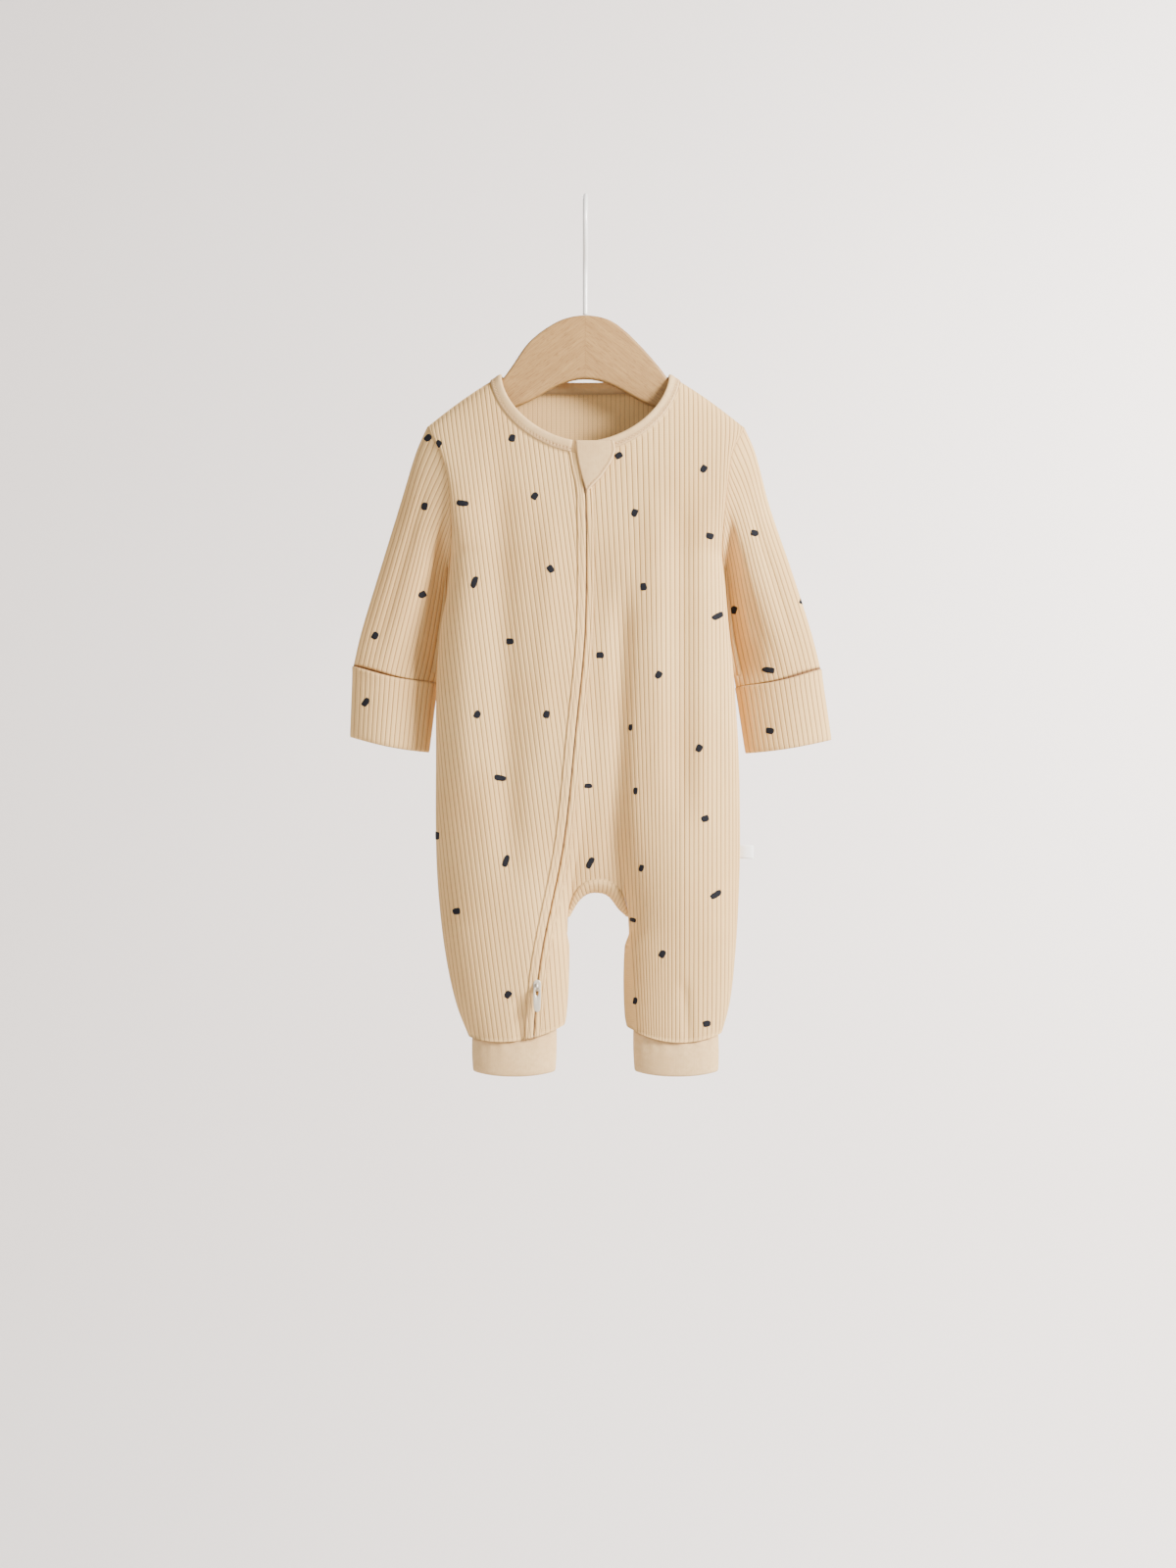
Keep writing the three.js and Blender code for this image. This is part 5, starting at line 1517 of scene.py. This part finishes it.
def rounded(solid, outline, centre, front, back, edge, **values):
    """A plate with a rounded front edge. outline is x and z round its middle."""
    outline = np.array(outline, float)
    rings = []
    for inset, y in ((0, back), (0, mix(back, front, 0.4)), (edge * 0.3, mix(back, front, 0.82)), (edge, front), (edge * 2.2, front)):
        size = np.abs(outline).max(0)
        shrunk = outline * (1 - inset / size)
        rings.append(point(centre[0] + shrunk[:, 0], y, centre[1] + shrunk[:, 1]))
    bar(solid, np.array(rings), **values)


def smooth_outline(points, steps=6):
    """A closed curve that rounds the corners of a list of points."""
    points = np.array(points, float)
    for _ in range(3):
        after = np.roll(points, -1, 0)
        points = np.stack([mix(points, after, 0.25), mix(points, after, 0.75)], 1).reshape(-1, 2)
    return points


def slider_mesh():
    x = float(zip_line(np.array(SLIDER_Z)))
    base, _, _ = cloth("front", np.array(x), np.array(SLIDER_Z - 1.5), 0.0)[()], 0, 0
    back = base[1] - 0.95
    solid = Solid()
    plate = [(-2.9, 2.0), (-1.6, 4.2), (1.6, 4.2), (2.9, 2.0), (2.6, -2.4), (2.0, -4), (-2.0, -4), (-2.6, -2.4)]
    rounded(solid, smooth_outline(plate), (x, SLIDER_Z + 1.2), back - 1.5, back, 0.35)
    # The bridge: a bent strap along the slider that holds the tab
    path = [(0.0, 3.6), (-1.2, 3.2), (-2.4, 2.0), (-2.75, 0.2), (-2.4, -1.4), (-1.2, -2.4), (0.0, -2.6)]
    sections = []
    for y, z in path:
        half = 0.75
        sections.append(
            [
                (x - half, back - 1.2 + y, SLIDER_Z + z * 0.9),
                (x + half, back - 1.2 + y, SLIDER_Z + z * 0.9),
                (x + half, back - 0.7 + y * 0.72, SLIDER_Z + z * 0.7),
                (x - half, back - 0.7 + y * 0.72, SLIDER_Z + z * 0.7),
            ]
        )
    bar(solid, np.array(sections, float))
    made = solid.make("zip_slider_body", ZIP_PAINT)
    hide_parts("zip_slider")
    return back


def pull_mesh():
    low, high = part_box("zip_pull")
    x = (low[0] + high[0]) / 2 / MM
    front, back = low[1] / MM, high[1] / MM
    top, foot = high[2] / MM, low[2] / MM
    half = (high[0] - low[0]) / 2 / MM
    outline = smooth_outline([(-half, top - 1), (-half * 0.8, top), (half * 0.8, top), (half, top - 1),
                              (half, foot + 3), (half * 0.6, foot), (-half * 0.6, foot), (-half, foot + 3)])
    hole_middle = SLIDER_Z - 2.9
    turn = np.arctan2(outline[:, 1] - hole_middle, outline[:, 0])
    hole = np.stack([1.25 * np.cos(turn), hole_middle + 3.1 * np.sin(turn)], 1)
    solid = Solid()
    middle_z = (top + foot) / 2
    rings = []
    for share, y in ((0, 0.0), (0, 1.0)):
        rings.append(point(hole[:, 0] + x, mix(back, front, y), hole[:, 1]))
    for grow, y in ((0.5, 1.0), (0.93, 1.0), (1.0, 0.7), (1.0, 0.3), (0.93, 0.0), (0.5, 0.0)):
        ring = mix(hole, outline, grow)
        dish = 0.25 * math.sin(math.pi * grow) if y == 1 else 0
        rings.append(point(ring[:, 0] + x, mix(back, front, y) + dish, ring[:, 1]))
    grid = solid.add(np.array(rings))
    closed = np.concatenate([grid, grid[:, :1]], 1)
    closed = np.concatenate([closed, closed[:1]], 0)
    solid.quads(closed)
    made = solid.make("zip_pull_tab", ZIP_PAINT, "pull_tab")
    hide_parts("zip_pull")


slider_mesh()
pull_mesh()

# Side label


def label_material():
    nodes = Nodes("woven_label")
    weave = nodes.noise(2.2, 2, nodes.place((1, 1, 4)))
    colour = nodes.blend(nodes.range(weave, 0.3, 0.7, 0, 0.5), (0.95, 0.94, 0.91, 1), (0.88, 0.87, 0.83, 1))
    nodes.bump(weave, 0.3, 0.0002)
    return nodes.finish(colour, nodes.range(weave, 0, 1, 0.8, 0.95), Sheen_Weight=0.1)


def label_mesh():
    top, foot, tip = -461.2, -471, 120.3
    start = float(right_edge(np.array(-466.0))) - 0.4
    shares = np.linspace(0, 1, 14)
    thick = np.interp(shares, [0, 0.3, 0.85, 0.96, 1], [0.35, 0.62, 0.62, 0.5, 0.12])
    sections = []
    for share, half in zip(shares, thick):
        x = mix(start, tip, share)
        y = -0.5 * math.sin(math.pi * share) + 0.4 * share
        drop = 0.6 * share
        heights = [top - drop + 0.0, top - drop - 1.2, mix(top, foot, 0.5) - drop, foot - drop + 1.2, foot - drop]
        ring = [(x, y - half, z) for z in heights] + [(x, y + half, z) for z in heights[::-1]]
        sections.append(ring)
    solid = Solid()
    bar(solid, np.array(sections, float))
    made = solid.make("side_label_cloth", LABEL_CLOTH)
    wear(made, "side_label", "label", (0.0105, 0.0105), None, "folded")


LABEL_CLOTH = label_material()
label_mesh()

# Hanger and hook

HANGER_THICKNESS = 8
HANGER_BEVEL = 2.0
HANGER_FOOT = [(0, -128), (18, -132), (40.6, -146), (60, -152.5), (78, -161), (93, -171.5)]
HANGER_TIP = [(98.5, -174), (103, -171.5), (104.5, -166), (103.5, -161.5)]
HANGER_NECK = {
    1: [(58.6, -129), (56.8, -125.8), (54.6, -122.6), (46.2, -112.7), (38.5, -104.3), (30.1, -95.9), (19.6, -87.5), (10, -84.4)],
    -1: [(58.6, -129), (56.6, -125.8), (53.9, -122.4), (47.6, -112.7), (42, -104.3), (32.9, -95.9), (19.6, -87.5), (10, -84.4)],
}
HANGER_TOP = (0, -83.3)


def wood_material():
    nodes = Nodes("beech")
    coordinates = nodes.node("ShaderNodeTexCoord")
    parts = nodes.node("ShaderNodeSeparateXYZ")
    nodes.link(coordinates.outputs["Object"], parts.inputs[0])
    x, y, z = (nodes.math("MULTIPLY", parts.outputs[k], 1000) for k in range(3))
    aside = nodes.math("ABSOLUTE", x)
    # The grain of both halves rises towards the joint in the middle
    along = nodes.math("ADD", nodes.math("MULTIPLY", aside, 0.80), nodes.math("MULTIPLY", z, -0.6))
    across = nodes.math("ADD", nodes.math("MULTIPLY", aside, 0.6), nodes.math("MULTIPLY", z, 0.80))
    half = nodes.math("MULTIPLY", nodes.math("SIGN", x), 37.0)
    at = nodes.join(nodes.math("MULTIPLY", along, 0.05), nodes.math("ADD", across, half), nodes.math("MULTIPLY", y, 0.3))
    rings = nodes.noise(0.22, 3, at)
    lines = nodes.noise(1.6, 2, at)
    fleck_at = nodes.join(nodes.math("MULTIPLY", along, 0.28), nodes.math("MULTIPLY", across, 2.2), half)
    flecks = nodes.noise(0.8, 1, fleck_at)
    light, warm, dark = (0.4, 0.228, 0.074, 1), (0.34, 0.185, 0.056, 1), (0.2, 0.092, 0.025, 1)
    colour = nodes.blend(nodes.range(rings, 0.35, 0.65, 0, 1), light, warm)
    colour = nodes.blend(nodes.range(lines, 0.42, 0.7, 0, 0.5), colour, dark)
    colour = nodes.blend(nodes.range(flecks, 0.58, 0.7, 0, 0.7), colour, dark)
    joint = nodes.range(aside, 0.0, 0.28, 0.55, 0)
    colour = nodes.blend(joint, colour, dark)
    nodes.bump(lines, 0.12, 0.0003)
    return nodes.finish(colour, nodes.range(rings, 0.3, 0.7, 0.5, 0.62), Coat_Weight=0.08, Coat_Roughness=0.45)


def hanger_outline(side):
    upper = []
    for x in np.arange(101.0, 60.5, -2.0):
        dip = 3.2 * math.exp(-(((x - 69) / 5) ** 2))
        at_tip = 1.2 * float(smooth((x - 89) / 12))
        upper.append((x, float(shoulder_height(x)) - 3.35 - dip - at_tip))
    return [*HANGER_FOOT, *HANGER_TIP, *upper, *HANGER_NECK[side]]


def hanger_mesh():
    left = [(-x, z) for x, z in hanger_outline(-1)][::-1]
    outline = smooth_outline([*hanger_outline(1), HANGER_TOP, *left[:-1]])
    outline = np.concatenate([outline, outline[:1]])
    outline = along_line(np.pad(outline, ((0, 0), (0, 1))), np.arange(300) / 300)[:, :2]
    for _ in range(3):
        outline = (np.roll(outline, 1, 0) + 2 * outline + np.roll(outline, -1, 0)) / 4
    along = unit(np.roll(outline, -1, 0) - np.roll(outline, 1, 0))
    outward = np.stack([along[:, 1], -along[:, 0]], 1)
    half = HANGER_THICKNESS / 2
    rings = []
    for k in range(9):
        turn = k / 8 * math.pi / 2
        rings.append((HANGER_BEVEL * (1 - math.sin(turn)), half - HANGER_BEVEL * (1 - math.cos(turn))))
    profile = [(inset, -y) for inset, y in rings] + [(inset, y) for inset, y in rings[::-1]]
    solid = Solid()
    sections = []
    for inset, y in profile:
        ring = outline - outward * inset
        sections.append(point(ring[:, 0], y, ring[:, 1]))
    grid = solid.add(np.array(sections))
    solid.quads(np.concatenate([grid, grid[:, :1]], 1))
    # Flat faces, filled from side to side between the right and left half of the outline
    count = len(outline)
    for ring, turned in ((grid[0], False), (grid[-1], True)):
        cap = []
        from mathutils import Vector
        from mathutils.geometry import tessellate_polygon

        flat = np.array(sections[0 if not turned else -1])
        for a, b, c in tessellate_polygon([[Vector((p[0], p[2], 0)) for p in flat]]):
            u, v = flat[b] - flat[a], flat[c] - flat[a]
            up = (u[0] * v[2] - u[2] * v[0]) > 0
            face = [ring[a], ring[b], ring[c]] if up == turned else [ring[a], ring[c], ring[b]]
            cap.append(face)
        solid.faces.append(np.array(cap))
    made = solid.make("hanger_body_wood", WOOD)
    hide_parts("hanger_body")


WOOD = wood_material()
hanger_mesh()

HOOK_STEM = [(0, -83), (0, -68), (0, -54), (-1.2, -48.5), (-4.2, -43.5), (-8.8, -38.5), (-13.5, -33), (-17, -27), (-18.8, -21.5)]
HOOK_END = [(19.1, -20.5), (18.4, -24)]
HOOK_WIRE = 3.5
HOOK_RAIL = 35


def hook_mesh():
    radius = (HOOK_RAIL + HOOK_WIRE) / 2
    arc = [
        (radius * math.cos(turn), -HOOK_RAIL / 2 + radius * math.sin(turn))
        for turn in np.pi * (1 - np.arange(21) / 20)
    ]
    path = np.array([*HOOK_STEM, *arc, *HOOK_END])
    length = np.concatenate([[0], np.cumsum(np.linalg.norm(np.diff(path, axis=0), axis=1))])
    at = np.linspace(0, length[-1], 150)
    table = [[s, y, z] for s, (y, z) in zip(length, path)]
    line = np.stack([read(table, at, 1), read(table, at, 2)], 1)
    along = unit(np.gradient(line, axis=0))
    turn = np.arange(16) / 16 * 2 * np.pi
    from_end = (length[-1] - at)
    sizes = HOOK_WIRE / 2 * np.sqrt(np.clip(1 - (1 - np.clip(from_end / 1.7, 0.03, 1)) ** 2, 0, 1))
    sections = []
    for (y, z), (dy, dz), size in zip(line, along, sizes):
        across = size * np.sin(turn)
        sections.append(point(size * np.cos(turn), y - dz * across, z + dy * across))
    solid = Solid()
    bar(solid, np.array(sections))
    made = solid.make("hanger_hook_wire", HOOK_PAINT)
    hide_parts("hanger_hook")


HOOK_PAINT = zip_material("hook_paint", (0.86, 0.84, 0.80, 1), 0.1, 0.32)
hook_mesh()

# Camera, light and background


def look_at(thing, target):
    direction = np.array(target) - np.array(thing.location)
    from mathutils import Vector

    thing.rotation_mode = "QUATERNION"
    thing.rotation_quaternion = Vector(direction).to_track_quat("-Z", "Y")


def area_light(name, place, target, size, power, colour):
    data = bpy.data.lights.new(name, "AREA")
    data.shape = "RECTANGLE"
    data.size, data.size_y = size
    data.energy = power
    data.color = colour
    made = bpy.data.objects.new(name, data)
    bpy.context.scene.collection.objects.link(made)
    made.location = place
    look_at(made, target)
    return made


camera_data = bpy.data.cameras.new("camera")
camera_data.lens = 83.6
camera = bpy.data.objects.new("camera", camera_data)
bpy.context.scene.collection.objects.link(camera)
camera.location = (0.002, -2.6, -0.418)
camera.rotation_euler = (math.pi / 2, 0, 0)
bpy.context.scene.camera = camera

MIDDLE = (0, 0, -0.38)
area_light("key", (2.0, -1.25, 0.65), MIDDLE, (0.8, 0.8), 270, (1.0, 0.985, 0.96))
area_light("fill", (-1.7, -1.9, 0.1), MIDDLE, (1.8, 1.8), 30, (1.0, 0.98, 0.96))
area_light("side", (1.4, -0.3, -0.3), (0, 0.1, -0.4), (0.5, 1.2), 7, (1.0, 0.98, 0.96))
area_light("wall", (2.0, 1.9, 0.3), (0.7, 3.5, -0.35), (1.5, 1.5), 185, (1.0, 0.985, 0.97))
area_light("back", (-1.0, 3.0, 0.7), MIDDLE, (1.6, 1.6), 40, (1.0, 0.985, 0.97))
world = bpy.data.worlds.new("world")
bpy.context.scene.world = world
world.use_nodes = True
world.node_tree.nodes["Background"].inputs["Color"].default_value = (0.93, 0.92, 0.91, 1)
world.node_tree.nodes["Background"].inputs["Strength"].default_value = 0.55


def backdrop():
    """A floor that curves up into a wall."""
    profile = [(-5, -1.9), (2.7, -1.9)]
    for k in range(1, 13):
        turn = k / 12 * math.pi / 2
        profile.append((2.7 + 0.8 * math.sin(turn), -1.1 - 0.8 * math.cos(turn)))
    profile.append((3.5, 3.5))
    points = [(x, y, z) for y, z in profile for x in (-5, 5)]
    faces = [(2 * k, 2 * k + 1, 2 * k + 3, 2 * k + 2) for k in range(len(profile) - 1)]
    mesh = bpy.data.meshes.new("floor")
    mesh.from_pydata(points, [], faces)
    mesh.shade_smooth()
    made = bpy.data.objects.new("floor", mesh)
    bpy.context.scene.collection.objects.link(made)
    nodes = Nodes("paper")
    tone = nodes.noise(0.0012, 2)
    colour = nodes.blend(nodes.range(tone, 0.3, 0.7, 0, 1), (0.86, 0.795, 0.76, 1), (0.88, 0.82, 0.785, 1))
    mesh.materials.append(nodes.finish(colour, 0.95))


backdrop()
